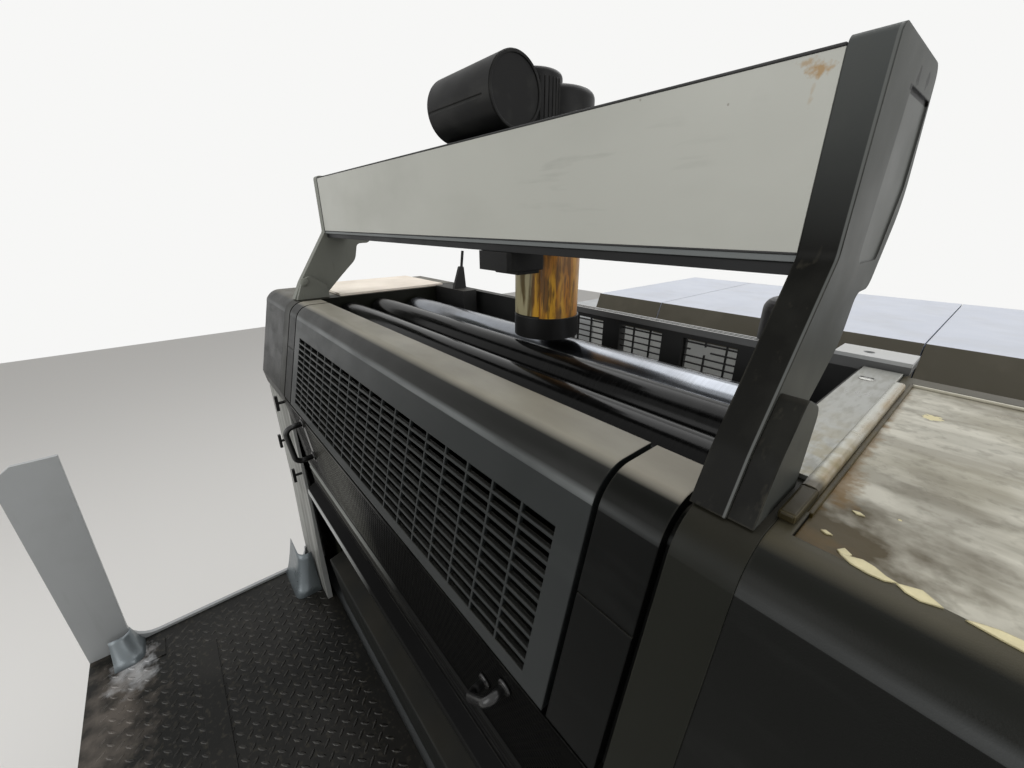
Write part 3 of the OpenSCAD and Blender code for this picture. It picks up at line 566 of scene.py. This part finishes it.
def bow(name, foot, span, reach, rod, bend, lean, roll):
    """Round bar with bent corners and two feet on the leaning face: built along X, rolled, then leaned"""
    path = [(0.0, 0.0)]
    steps = 8
    for k in range(steps + 1):
        angle = math.pi / 2 * k / steps
        path.append((bend * (1 - math.cos(angle)), -(reach - bend) - bend * math.sin(angle)))
    path += [(span - x, y) for x, y in reversed(path)]
    shape = bmesh.new()
    sides, rings = 16, []
    upward = Vector((0, 0, 1))
    for k, (x, y) in enumerate(path):
        before, after = path[max(0, k - 1)], path[min(len(path) - 1, k + 1)]
        way = Vector((after[0] - before[0], after[1] - before[1], 0)).normalized()
        across = Vector((-way.y, way.x, 0))
        centre = Vector((x, y, 0))
        rings.append([shape.verts.new(centre + rod / 2 * (across * math.cos(a) + upward * math.sin(a)))
                      for a in (math.tau * j / sides for j in range(sides))])
    for first, second in zip(rings[:-1], rings[1:]):
        for j in range(sides):
            n = (j + 1) % sides
            shape.faces.new((first[j], first[n], second[n], second[j]))
    shape.faces.new(rings[0])
    shape.faces.new(rings[-1][::-1])
    flange_thick = 0.004
    for x in (0.0, span):
        flange = bmesh.ops.create_cone(shape, cap_ends=True, segments=20, radius1=rod * 0.95,
                                       radius2=rod * 0.8, depth=flange_thick)
        seated = Matrix.Translation((x, -flange_thick / 2, 0)) @ Matrix.Rotation(math.pi / 2, 4, "X")
        bmesh.ops.transform(shape, verts=flange["verts"], matrix=seated)
    bmesh.ops.recalc_face_normals(shape, faces=shape.faces)
    mesh = finished(name, shape)
    for face in mesh.polygons:
        face.use_smooth = len(face.vertices) == 4
    mesh.transform(Matrix.Translation(foot) @ Matrix.Rotation(lean, 4, "X") @ Matrix.Rotation(roll, 4, "Y"))
    return mesh


face_lean = math.radians(6.3)


def face_y(height):
    """Where the lower guard's leaning face lies at a height"""
    return mesh_top.y + (mesh_top.z - height) * math.tan(face_lean)


grip_steel = coated("grip_steel", (70, 72, 70), 0.3, metal=0.3, mottle=0.15, patch=0.02)
bow_x, bow_z, grip_x, grip_z, gap = -0.4120, 1.4533, 0.3150, 1.4760, 0.0003
far_bow = bow("guard_bow", (bow_x, face_y(bow_z) - gap, bow_z),
              span=0.0945, reach=0.042, rod=0.013, bend=0.016, lean=face_lean, roll=-math.pi / 2)
near_bow = bow("guard_grip", (grip_x, face_y(grip_z) - gap, grip_z),
               span=0.070, reach=0.026, rod=0.011, bend=0.012, lean=face_lean, roll=math.radians(-48))
pair = bmesh.new()
pair.from_mesh(far_bow)
count_far = len(pair.faces)
pair.from_mesh(near_bow)
pair.faces.ensure_lookup_table()
for face in pair.faces[count_far:]:
    face.material_index = 1
pair.to_mesh(far_bow)
pair.free()
handles = loose("guard_handles", far_bow, black_handle, "plate_guard")
far_bow.materials.append(grip_steel)
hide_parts("lower_handles")
back_plate = bar("bow_plate", (bow_x - 0.013, -0.0008, -0.0133), (bow_x + 0.013, 0.0012, 0.1087), 0.0006)
back_plate.transform(Matrix.Translation((0, face_y(bow_z), bow_z)) @ Matrix.Rotation(face_lean, 4, "X"))
loose("bow_plate", back_plate, black_handle, "plate_guard")
dress(black_handle, "cladding_knobs", "lower_handles")

# Far cover plates
# Painted sheet: the cladding over the far end of the unit with its three turn knobs, and the
# beige plate that lies on the far cover.


def fingered(tree, place, tone, gloss):
    smudge = cloud(tree, place, 0.10, 0.52, 0.76, 8.0, 1.3)
    tone = stain(tree, tone, smudge, 0.12, (120, 117, 108))
    streak = streaks(tree, place, (1, 1, 0.12), 0.02, 0.58, 0.72, 6.0, 2.3)
    tone = stain(tree, tone, streak, 0.08, (104, 100, 90))
    return tone, sums(tree, "MULTIPLY_ADD", smudge, 0.12, gloss)


light_sheet = coated("light_sheet", (168, 171, 172), 0.42, mottle=0.04, depth=0.04,
                     rub=(120, 118, 112), marks=fingered)
beige_sheet = coated("beige_sheet", (252, 240, 226), 0.5, mottle=0.05, depth=0.04,
                     rub=(130, 124, 112), dust=(150, 140, 120), marks=fingered)


def fingered_front_shade(tree, place, tone, gloss):
    tone, gloss = fingered(tree, place, tone, gloss)
    # Painted shade: faces that look to the front are darkened, with darker streaks over them.
    front = ramp(tree, facing(tree, 1), -0.6, -0.9)
    shade = both(tree, front, streaks(tree, place, (1.6, 1, 0.1), 0.06, 0.40, 0.56, 6.0, 3.7))
    tone = stain(tree, tone, front, 0.5, (120, 120, 112))
    return stain(tree, tone, shade, 0.6, (70, 70, 64)), gloss


clad_sheet = coated("clad_sheet", (158, 160, 158), 0.42, mottle=0.04, depth=0.04,
                    rub=(120, 118, 112), marks=fingered_front_shade, shine=0.3)
dress(light_sheet, "gangway_plate", "hood_far_cover")
dress(clad_sheet, "far_cladding")
dress(beige_sheet, "far_top_plate")

# Worn plate and strips on the near cover
# A sheet laid into the near cover, once cream, now rubbed grey with ochre stains and flakes of
# paint along its front, with a light strip and a bar beside it.

plate_low, plate_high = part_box("near_top_plate")
# Where the marks lie along X and Y, their half sizes, and how strong they are
stain_z = 1.804
dark_patches = ((0.606, -0.545, 0.034, 0.034, 0.35), (0.628, -0.600, 0.030, 0.022, 0.35),
                (0.556, -0.646, 0.080, 0.076, 0.95), (0.592, -0.500, 0.030, 0.014, 0.3),
                (0.640, -0.265, 0.120, 0.050, 0.35))
ochre_stains = ((0.548, -0.480, 0.010, 0.100, 0.6), (0.550, -0.566, 0.018, 0.044, 0.75),
                (0.548, -0.340, 0.007, 0.110, 0.5), (0.556, -0.650, 0.024, 0.012, 0.25))
paint_specks = ((0.579, -0.351, 0.0070, 0.0100), (0.590, -0.585, 0.0012, 0.0012))


def worn_cream(tree, place, tone, gloss):
    streak = streaks(tree, place, (0.45, 1.8, 1), 0.05, 0.42, 0.60, 9.0, 0.4)
    tone = stain(tree, tone, streak, 0.55, (112, 107, 93))
    # Painted highlight: whitish patches stand for the sheen of light on the plate.
    painted_sheen = streaks(tree, place, (0.4, 1.4, 1), 0.07, 0.50, 0.66, 9.0, 5.4)
    tone = stain(tree, tone, painted_sheen, 0.45, (200, 198, 186))
    grime = cloud(tree, place, 0.10, 0.44, 0.60, 9.0, 2.6)
    tone = stain(tree, tone, grime, 0.45, (134, 128, 106))
    fine = cloud(tree, place, 0.010, 0.50, 0.66, 9.0, 1.9)
    tone = stain(tree, tone, fine, 0.32, (96, 92, 78))
    for x, y, half_x, half_y, share in dark_patches:
        dark = blot(tree, place, (x, y, stain_z), (half_x, half_y, 0.05), 0.6, 0.02, 0.6)
        tone = stain(tree, tone, dark, share, (66, 54, 24))
    for x, y, half_x, half_y, share in ochre_stains:
        ochre = blot(tree, place, (x, y, stain_z), (half_x, half_y, 0.05), 0.9, 0.010, 0.6)
        tone = stain(tree, tone, ochre, share, (112, 80, 6))
    for x, y, half_x, half_y in paint_specks:
        halo = blot(tree, place, (x, y, stain_z), (half_x * 1.5, half_y * 1.5, 0.03), 0.9, 0.006, 0.5)
        tone = stain(tree, tone, halo, 0.5, (92, 84, 60))
        flake = blot(tree, place, (x, y, stain_z), (half_x, half_y, 0.02), 1.1, 0.005, 0.1)
        tone = over(tree, flake, tone, seen_colour(212, 202, 160))
    return tone, sums(tree, "MULTIPLY_ADD", grime, -0.12, gloss)


def strip_marks(tree, place, tone, gloss):
    along, back = part_of(tree, place, 0), part_of(tree, place, 1)
    on_bar = ramp(tree, along, 0.5340, 0.5342)
    streak = streaks(tree, place, (1.6, 0.4, 1), 0.012, 0.44, 0.62, 9.0, 5.0)
    tone = stain(tree, tone, streak, 0.5, (104, 102, 92))
    tone = stain(tree, tone, on_bar, 0.5, (200, 200, 190))
    pooled = streaks(tree, place, (1, 0.4, 1), 0.03, 0.3, 0.6, 8.0, 4.0)
    liquid = both(tree, ramp(tree, along, 0.5385, 0.5435), pooled)
    tone = stain(tree, tone, liquid, 0.75, (132, 104, 44))
    near = ramp(tree, back, -0.40, -0.56)
    grime = both(tree, near, cloud(tree, place, 0.016, 0.40, 0.58, 9.0, 7.0))
    tone = stain(tree, tone, grime, 0.6, (116, 104, 60))
    tone = over(tree, ramp(tree, back, -0.588, -0.600), tone, seen_colour(70, 64, 50))
    return tone, sums(tree, "MULTIPLY_ADD", streak, 0.15, gloss)


worn_plate = coated("worn_plate", (202, 199, 186), 0.4, mottle=0.06, grain=0.004, depth=0.2,
                    marks=worn_cream, shine=0.1)
strip_metal = coated("strip_metal", (150, 151, 146), 0.3, metal=0.5, mottle=0.06, grain=0.004, depth=0.2,
                     marks=strip_marks)
rim_cream = coated("rim_cream", (206, 202, 184), 0.4, mottle=0.05, rub=(120, 112, 92), rubbed=0.6)
screw_steel = coated("screw_steel", (150, 150, 146), 0.3, metal=0.8, mottle=0.2, patch=0.01, depth=0.02)
dress(worn_plate, "near_top_plate")
dress(strip_metal, "near_strips")
strip_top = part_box("near_strips")[0].z + 0.004
rim = bar("plate_back_rim", (plate_low.x, plate_high.y - 0.0025, plate_high.z),
          (plate_high.x, plate_high.y + 0.0015, plate_high.z + 0.0035), 0.001)
loose("plate_back_rim", rim, rim_cream, "press")
bar_left, bar_right = 0.5345, 0.5460
foot = bar("bar_foot", (bar_left, -0.6540, 1.8092), (bar_right, -0.6076, 1.8166), 0.002)
foot_paint = coated("foot_paint", (50, 44, 26), 0.4, shine=0.15, mottle=0.15, patch=0.03,
                    rub=(140, 130, 100))
loose("bar_foot", foot, foot_paint, "press")
seep_ink = coated("seep_ink", (62, 52, 20), 0.3, shine=0.15, mottle=0.35, patch=0.03, grain=0.004, depth=0.3)
seep = bar("ink_seep", (bar_right + 0.0001, -0.6300, plate_high.z - 0.0010),
           (plate_low.x + 0.0016, -0.2540, 1.8092), 0.0006)
loose("ink_seep", seep, seep_ink, "press")
flake_cream = coated("flake_cream", (216, 206, 164), 0.5, mottle=0.12, patch=0.01, grain=0.002, depth=0.3,
                     rub=(120, 104, 60), rubbed=0.7)
torn = bmesh.new()
cover_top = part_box("side_cover_near")[1].z
# Outlines of the flakes, in mm from start_x and start_y; the first four lie on the cover's rim
start_x, start_y = 0.5, -0.7
flakes = ((cover_top, ((72.0, 40.0), (75.5, 40.6), (82.9, 44.0), (89.0, 42.5), (94.5, 38.8), (100.0, 37.5),
                       (95.0, 34.0), (87.5, 33.2), (78.9, 35.0))),
          (cover_top, ((99.5, 36.8), (104.5, 39.2), (109.8, 41.6), (113.0, 39.5), (119.0, 35.0),
                       (110.2, 31.5), (104.0, 33.0))),
          (cover_top, ((127.0, 34.0), (130.5, 36.0), (138.8, 39.2), (146.3, 39.6), (160.0, 35.0),
                       (150.0, 31.0), (139.1, 32.0))),
          (cover_top, ((175.0, 34.0), (182.0, 38.0), (192.0, 35.0), (184.0, 31.0))),
          (plate_high.z, ((70.0, 47.8), (72.8, 52.7), (77.5, 49.0), (76.5, 46.0), (72.6, 45.0))),
          (plate_high.z, ((65.5, 101.5), (70.0, 102.8), (73.5, 100.2), (69.0, 98.4))),
          (plate_high.z, ((57.5, 61.0), (60.0, 63.2), (64.5, 60.8), (61.0, 58.8))))
for level, outline in flakes:
    corners = [(start_x + x / 1000, start_y + y / 1000) for x, y in outline]
    low_ring = [torn.verts.new((x, y, level + 0.0001)) for x, y in corners]
    high_ring = [torn.verts.new((x, y, level + 0.0009)) for x, y in corners]
    torn.faces.new(high_ring)
    torn.faces.new(low_ring[::-1])
    for k in range(len(corners)):
        n = (k + 1) % len(corners)
        torn.faces.new((low_ring[k], low_ring[n], high_ring[n], high_ring[k]))
bmesh.ops.recalc_face_normals(torn, faces=torn.faces)
torn_mesh = finished("paint_flakes", torn)
loose("paint_flakes", torn_mesh, flake_cream, "press")
screw_x, screw_y, screw_r, slot_half = 0.509, -0.287, 0.0085, 0.0070
slotted = turned("slotted", [(screw_r, 0.0), (screw_r, 0.0006), (0.0060, 0.0016), (0.0020, 0.0018),
                             (0.0, 0.0018)])
grown("strip_screw", on_points, [(screw_x, screw_y, strip_top)],
      {"Piece": slotted, "Finish": screw_steel, "Piece turn": (0, 0, 0)}, "press")
# Painted shade: a thin dark bar on the screw head stands for its slot.
slot_line = bar("strip_screw_slot", (screw_x - slot_half, screw_y - 0.0008, strip_top + 0.0016),
                (screw_x + slot_half, screw_y + 0.0008, strip_top + 0.00195), 0.0002)
loose("strip_screw_slot", slot_line, painted_hole_shade, "press")

# Beam over the rollers
# A steel box beam faced with a silver-grey sheet, with a black guide rail under it and a rubber lip
# along its top. Two cranked arms, cut from thick plate and painted dark, hold it over the unit.

panel_low, panel_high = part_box("beam_panel")


def scuffed(tree, place, tone, gloss):
    smudge = streaks(tree, place, (0.5, 1, 1), 0.10, 0.46, 0.72, 9.0, 8.0)
    tone = stain(tree, tone, smudge, 0.14, (136, 136, 130))
    swipes = streaks(tree, place, (0.35, 1, 3.2), 0.05, 0.58, 0.70, 9.0, 3.0)
    where = blot(tree, place, (0.285, -0.579, 2.045), (0.16, 0.05, 0.05), 0.9, 0.05, 0.9)
    tone = stain(tree, tone, both(tree, swipes, where), 0.5, (120, 118, 112))
    for x, z, half_x, half_z, share in ((0.475, 2.0905, 0.0085, 0.0048, 0.85),
                                        (0.467, 2.096, 0.0075, 0.0026, 0.6),
                                        (0.473, 2.078, 0.0016, 0.009, 0.3)):
        spilt = blot(tree, place, (x, -0.579, z), (half_x, 0.05, half_z), 1.2, 0.004, 0.7)
        tone = stain(tree, tone, spilt, share, (150, 112, 40))
    for x, z in ((0.418, 2.081), (0.339, 2.098)):
        speck = blot(tree, place, (x, -0.579, z), (0.0012, 0.05, 0.0012), 0.6, 0.003, 0.4)
        tone = stain(tree, tone, speck, 0.6, (110, 104, 90))
    return tone, sums(tree, "MULTIPLY_ADD", smudge, 0.14, gloss)


def arm_wear_and_light(tree, place, tone, gloss):
    along, back, high = part_of(tree, place, 0), part_of(tree, place, 1), part_of(tree, place, 2)
    outward = facing(tree, 0)
    # Painted light: the arms are lighter towards their tops, on faces that look outwards along X, and all
    # over the far arm.
    tone = stain(tree, tone, ramp(tree, high, 1.98, 2.10), 0.8, (84, 87, 86))
    tone = stain(tree, tone, ramp(tree, outward, 0.3, 0.8), 0.85, (72, 74, 71))
    tone = stain(tree, tone, ramp(tree, along, -0.40, -0.50), 0.85, (134, 136, 128))
    pocket = both(tree, ramp(tree, along, 0.5105, 0.5110), ramp(tree, along, 0.5127, 0.5122))
    tone = stain(tree, tone, pocket, 0.8, (104, 106, 104))
    groove = both(tree, ramp(tree, along, 0.5, 0.505), ramp(tree, back, -0.449, -0.451))
    groove_height = both(tree, ramp(tree, high, 2.0805, 2.0812), ramp(tree, high, 2.0848, 2.0841))
    groove = both(tree, both(tree, groove, groove_height), ramp(tree, back, -0.5250, -0.5240))
    tone = over(tree, groove, tone, seen_colour(12, 12, 12))
    for spot in ((0.513, -0.508, 2.091), (0.513, -0.478, 2.094)):
        hook = blot(tree, place, spot, (0.003, 0.0045, 0.0065), 0.9, 0.004, 0.2)
        tone = stain(tree, tone, hook, 0.85, (14, 14, 14))
    wiped = streaks(tree, place, (1, 1, 0.4), 0.05, 0.5, 0.72, 8.0, 6.6)
    tone = stain(tree, tone, wiped, 0.14, (84, 84, 78))
    drip = streaks(tree, place, (1, 1, 0.15), 0.012, 0.62, 0.72, 6.0, 2.6)
    return stain(tree, tone, drip, 0.2, (96, 92, 80)), gloss


def rail_lip(tree, place, tone, gloss):
    lip_mask = ramp(tree, part_of(tree, place, 2), 1.9705, 1.9712)
    tone = stain(tree, tone, lip_mask, 0.9, (112, 116, 116))
    return tone, sums(tree, "MULTIPLY_ADD", lip_mask, -0.05, gloss)


panel_sheet = coated("panel_sheet", (174, 175, 167), 0.40, mottle=0.025, depth=0.05, edge=0.0008,
                     marks=scuffed)
arm_paint = coated("arm_paint", (12, 12, 9), 0.42, edge=0.002, rub=(96, 94, 86), dust=(70, 66, 56),
                   marks=arm_wear_and_light, shine=0.08)
rail_black = coated("rail_black", (20, 21, 22), 0.45, mottle=0.1, rub=(70, 70, 66), rubbed=0.4,
                    marks=rail_lip, shine=0.2)
dress(panel_sheet, "beam_panel")
dress(arm_paint, "arm_far", "arm_near", "arm_foot_far", "arm_foot_near", "ink_beam")
dress(rail_black, "beam_rail")
rubber_lip = coated("rubber_lip", (20, 20, 20), 0.6, mottle=0.1)
front_y = panel_low.y
for name, low, high, edge in (
        ("panel_lip", (panel_low.x, front_y - 0.0006, panel_high.z + 0.0001),
         (panel_high.x, front_y + 0.0085, panel_high.z + 0.0024), 0.0008),
        ("panel_end_trim", (panel_low.x, front_y - 0.0008, panel_low.z),
         (panel_low.x + 0.0035, front_y - 0.0001, panel_high.z), 0.0003),
        ("panel_foot_line", (panel_low.x, front_y - 0.0005, panel_low.z - 0.0001),
         (panel_high.x, front_y + 0.0040, panel_low.z + 0.0016), 0.0004)):
    loose(name, bar(name, low, high, edge), rubber_lip, "press")
dome = turned("dome", [(0.0105, 0.0), (0.0105, 0.0030), (0.0085, 0.0065), (0.0045, 0.0088),
                       (0.0, 0.0095)], 20)
lug_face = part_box("arm_foot_far")[1].x
grown("arm_dome", on_points, [(lug_face - 0.0002, -0.655, 1.8535)],
      {"Piece": dome, "Finish": arm_paint, "Piece turn": (0, math.pi / 2, 0)}, "press")

# Ink carriage
# A black housing that runs along the beam, with a lying drum, a ribbed gear column, a steel half
# sleeve and the ink cartridge in it, its wall streaked with ochre ink.


def inked_wall(tree, place, tone, gloss):
    streak = streaks(tree, place, (1, 1, 0.16), 0.016, 0.44, 0.6, 8.0, 1.1)
    tone = over(tree, streak, tone, seen_colour(196, 146, 44))
    brown = streaks(tree, place, (1, 1, 0.22), 0.014, 0.50, 0.60, 8.0, 4.4)
    tone = stain(tree, tone, brown, 0.85, (92, 60, 16))
    black = streaks(tree, place, (1, 1, 0.10), 0.005, 0.54, 0.64, 9.0, 7.4)
    tone = stain(tree, tone, black, 0.7, (44, 32, 12))
    crust = blot(tree, place, (0.040, -0.452, 1.925), (0.030, 0.05, 0.026), 1.3, 0.008, 0.9)
    specks = cloud(tree, place, 0.005, 0.50, 0.56, 9.0, 3.4)
    tone = stain(tree, tone, both(tree, crust, specks), 0.85, (28, 22, 12))
    return tone, sums(tree, "MULTIPLY_ADD", brown, 0.15, gloss)


def ring_and_sleeve(tree, place, tone, gloss):
    sleeve = ramp(tree, part_of(tree, place, 2), 1.8432, 1.8436)
    dull = streaks(tree, place, (1, 1, 0.12), 0.012, 0.46, 0.60, 8.0, 2.0)
    bright = over(tree, dull, seen_colour(158, 150, 118), seen_colour(84, 70, 36))
    # across: distance from the cartridge's middle, measured towards the sleeve's open side
    across = sums(tree, "MULTIPLY_ADD", part_of(tree, place, 0), 0.6409, -0.0308)
    across = sums(tree, "MULTIPLY_ADD", sums(tree, "ADD", part_of(tree, place, 1), 0.400), 0.7676, across)
    inky = over(tree, dull, seen_colour(196, 146, 44), seen_colour(92, 60, 16))
    bright = over(tree, ramp(tree, across, -0.032, -0.028), bright, inky)
    tone = over(tree, sleeve, tone, bright)
    return tone, sums(tree, "MULTIPLY_ADD", sleeve, -0.05, gloss)


def drum_marks(tree, place, tone, gloss):
    rub = streaks(tree, place, (0.3, 1, 1), 0.03, 0.55, 0.72, 8.0, 5.0)
    return stain(tree, tone, rub, 0.15, (80, 80, 76)), gloss


carriage_black = coated("carriage_black", (17, 17, 17), 0.45, mottle=0.1, edge=0.002,
                        rub=(60, 60, 56), rubbed=0.35, dust=(60, 56, 48), dusted=0.2,
                        marks=drum_marks, shine=0.14)
cartridge = coated("cartridge", (160, 104, 22), 0.34, mottle=0.12, patch=0.05, marks=inked_wall)
holder = coated("holder", (15, 15, 15), 0.38, mottle=0.1, rub=(96, 92, 80), marks=ring_and_sleeve, shine=0.2)
dress(carriage_black, "carriage_block", "carriage_drum", "carriage_housing")
dress(cartridge, "ink_tube")
dress(holder, "tube_holder")
# Ribs round the gear column, apart from those that the cartridge beside it would cover
column_x, column_y, column_r, column_foot = 0.060, -0.455, 0.0450, 2.108
tube_x, tube_y, tube_clear = 0.048, -0.400, 0.0665
rib_count, rib_r, rib_height = 40, 0.0011, 0.078
rib = turned("rib", [(0.0, 0.0), (rib_r, 0.0008), (rib_r, rib_height - 0.0008), (0.0, rib_height)], 8)
rib_points = []
for k in range(rib_count):
    angle = math.tau * k / rib_count
    spot = (column_x + column_r * math.cos(angle), column_y + column_r * math.sin(angle), column_foot)
    if math.hypot(spot[0] - tube_x, spot[1] - tube_y) > tube_clear:
        rib_points.append(spot)
grown("gear_column_ribs", on_points, rib_points,
      {"Piece": rib, "Finish": carriage_black, "Piece turn": (0, 0, 0)}, "carriage")
drum_low, drum_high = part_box("carriage_drum")
drum_mid = (drum_low + drum_high) / 2
drum_r = (drum_high.z - drum_low.z) / 2


def drum_ring(name, place):
    """Flat ring on one end of the drum, with its outer edges broken"""
    inner, outer, width = drum_r - 0.0045, drum_r - 0.0006, 0.0016
    ring = turned(name, [(inner, 0.0), (outer - 0.0004, 0.0), (outer, 0.0006), (outer, width - 0.0006),
                         (outer - 0.0004, width), (inner, width), (inner, 0.0)], 64)
    mesh = ring.data
    mesh.transform(Matrix.Translation((place, drum_mid.y, drum_mid.z)) @ Matrix.Rotation(math.pi / 2, 4, "Y"))
    bpy.data.objects.remove(ring)
    return loose(name, mesh, carriage_black, "carriage")


drum_ring("drum_end_ring", drum_high.x - 0.0002)
drum_ring("drum_far_ring", drum_low.x - 0.0014)

# Galleries
# Chequer plate painted black and worn bright on its raised tears, on welded square tube; at the
# far end stands an upright plate with a U-shaped gap, bolted to the gallery's edge.


def trodden_and_glint(tree, place, tone, gloss):
    path_worn = cloud(tree, place, 0.22, 0.42, 0.66, 8.0, 3.3)
    tone = stain(tree, tone, path_worn, 0.30, (52, 50, 46))
    grit = cloud(tree, place, 0.012, 0.55, 0.68, 9.0, 5.7)
    tone = stain(tree, tone, grit, 0.30, (80, 76, 66))
    # Painted highlight: a near-white oval on the deck at the front leg; a broad paler patch lies beside it.
    bright = blot(tree, place, (-0.735, -1.270, 0.790), (0.085, 0.060, 0.05), 1.2, 0.03, 0.8)
    tone = stain(tree, tone, bright, 0.75, (196, 198, 200))
    dull = blot(tree, place, (-0.600, -1.310, 0.790), (0.240, 0.100, 0.05), 1.2, 0.04, 0.9)
    tone = stain(tree, tone, dull, 0.55, (118, 110, 102))
    return tone, sums(tree, "MULTIPLY_ADD", path_worn, -0.14, gloss)


deck_plate = coated("deck_plate", (15, 15, 13), 0.46, shine=0.2, mottle=0.14, patch=0.3, grain=0.003,
                    depth=0.2, marks=trodden_and_glint)
tear_steel = coated("tear_steel", (28, 27, 24), 0.34, metal=0.2, shine=0.3, mottle=0.35, patch=0.06,
                    grain=0.003, depth=0.1, marks=trodden_and_glint)
gallery_paint = coated("gallery_paint", (84, 87, 88), 0.5, mottle=0.1, rub=(120, 112, 100))
dress(deck_plate, "front_footboard", "rear_footboard")
dress(gallery_paint, "front_gallery_frame", "rear_gallery_frame")
tear = bmesh.new()
tear_l, tear_w, tear_h = 0.013, 0.0035, 0.0012
lozenge = ((-1, 0), (-0.45, -1), (0.45, -1), (1, 0), (0.45, 1), (-0.45, 1))
lower_ring = [tear.verts.new((x * tear_l, y * tear_w, 0)) for x, y in lozenge]
upper_ring = [tear.verts.new((x * tear_l * 0.72, y * tear_w * 0.5, tear_h)) for x, y in lozenge]
for k in range(6):
    n = (k + 1) % 6
    tear.faces.new((lower_ring[k], lower_ring[n], upper_ring[n], upper_ring[k]))
tear.faces.new(upper_ring)
tear_piece = bpy.data.objects.new("tear", finished("tear", tear))
pitch = 0.036
for deck in ("front_footboard", "rear_footboard"):
    deck_low, deck_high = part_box(deck)
    deck_mid = (deck_low + deck_high) / 2
    count = int((deck_high.x - deck_low.x - 0.04) / pitch)
    rows = int((deck_high.y - deck_low.y - 0.03) / (pitch / 2))
    rows -= rows % 2
    for hand, side in (("left", 1), ("right", -1)):
        grown(deck + "_tears_" + hand, in_rows, [(0, 0, 0)], {
            "Piece": tear_piece, "Finish": tear_steel, "Along": count, "Across": rows // 2,
            "Step along": pitch, "Step across": pitch, "Shift": 0.0, "Piece turn": (0, 0, side * math.pi / 4),
            "Place": (deck_mid.x + side * pitch / 4, deck_mid.y + side * pitch / 4, deck_high.z),
            "Turn": (0, 0, 0)}, "press")
plate_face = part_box("gangway_plate")[1].x
deck_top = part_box("front_footboard")[1].z
for name, low, high, thick, edge in (
        ("deck_joint_strip", (-0.690, -1.126), (0.720, -1.074), 0.0024, 0.0009),
        ("deck_patch_plate", (-0.800, -1.236), (-0.730, -1.196), 0.0030, 0.0008)):
    strip = bar(name, (*low, deck_top + 0.0001), (*high, deck_top + thick), edge)
    loose(name, strip, deck_plate, "press")


def corner_boot(name, wall_y, foot_y, foot_x, top_y, top_x, height):
    """Rounded sheet-metal boot over the foot of a leg, open towards the wall behind it"""
    shape = bmesh.new()
    levels, bends = 7, 8
    rows = []
    for k in range(levels + 1):
        rise = k / levels
        pull = rise ** 0.7
        edge_y, edge_x = foot_y + (top_y - foot_y) * pull, foot_x + (top_x - foot_x) * pull
        side = 1 if wall_y > foot_y else -1
        round_r = min(0.028, abs(edge_x - plate_face) * 0.7, abs(edge_y - wall_y) * 0.7)
        outline = [(plate_face + 0.0004, edge_y)]
        for j in range(bends + 1):
            angle = math.pi / 2 * j / bends
            outline.append((edge_x - round_r * (1 - math.sin(angle)),
                            edge_y + side * round_r * (1 - math.cos(angle))))
        outline.append((edge_x, wall_y))
        rows.append([shape.verts.new((x, y, deck_top + 0.0004 + height * rise)) for x, y in outline])
    for first, second in zip(rows[:-1], rows[1:]):
        for j in range(len(first) - 1):
            shape.faces.new((first[j], first[j + 1], second[j + 1], second[j]))
    bmesh.ops.recalc_face_normals(shape, faces=shape.faces)
    bmesh.ops.solidify(shape, geom=shape.faces[:], thickness=0.0015)
    bmesh.ops.recalc_face_normals(shape, faces=shape.faces)
    mesh = finished(name, shape)
    for face in mesh.polygons:
        face.use_smooth = True
    return loose(name, mesh, boot_sheet, "press")


boot_sheet = coated("boot_sheet", (112, 120, 124), 0.3, metal=0.3, patch=0.08, depth=0.05,
                    rub=(96, 94, 88), rubbed=0.6, marks=fingered)
corner_boot("rear_leg_boot", -0.7620, -0.8420, -0.672, -0.8020, -0.720, 0.135)
corner_boot("front_leg_boot", -1.3120, -1.2440, -0.750, -1.2660, -0.808, 0.066)

# Hooded section
# Sheet-metal hoods in pale grey that lift off, over a panelled base. Their tops are clean and
# bluish; their sloped fronts are painted a dull beige, which is painted shade.


def hood_tones(tree, place, tone, gloss):
    # Painted shade: faces that slope towards the front are painted a dull beige.
    slope = ramp(tree, facing(tree, 1), -0.25, -0.6)
    tone = over(tree, slope, tone, seen_colour(86, 82, 70))
    grime = cloud(tree, place, 0.12, 0.5, 0.74, 8.0, 4.9)
    return stain(tree, tone, grime, 0.14, (150, 144, 130)), gloss


hood_paint = coated("hood_paint", (196, 201, 212), 0.4, mottle=0.03, depth=0.04, edge=0.003,
                    rub=(140, 138, 130), rubbed=0.4, marks=hood_tones, shine=0.2)
front_sheet = coated("front_sheet", (196, 198, 196), 0.42, mottle=0.03, depth=0.04, marks=fingered)
dress(hood_paint, "hood_panels", "hood_near_cover")
dress(front_sheet, "section_front")
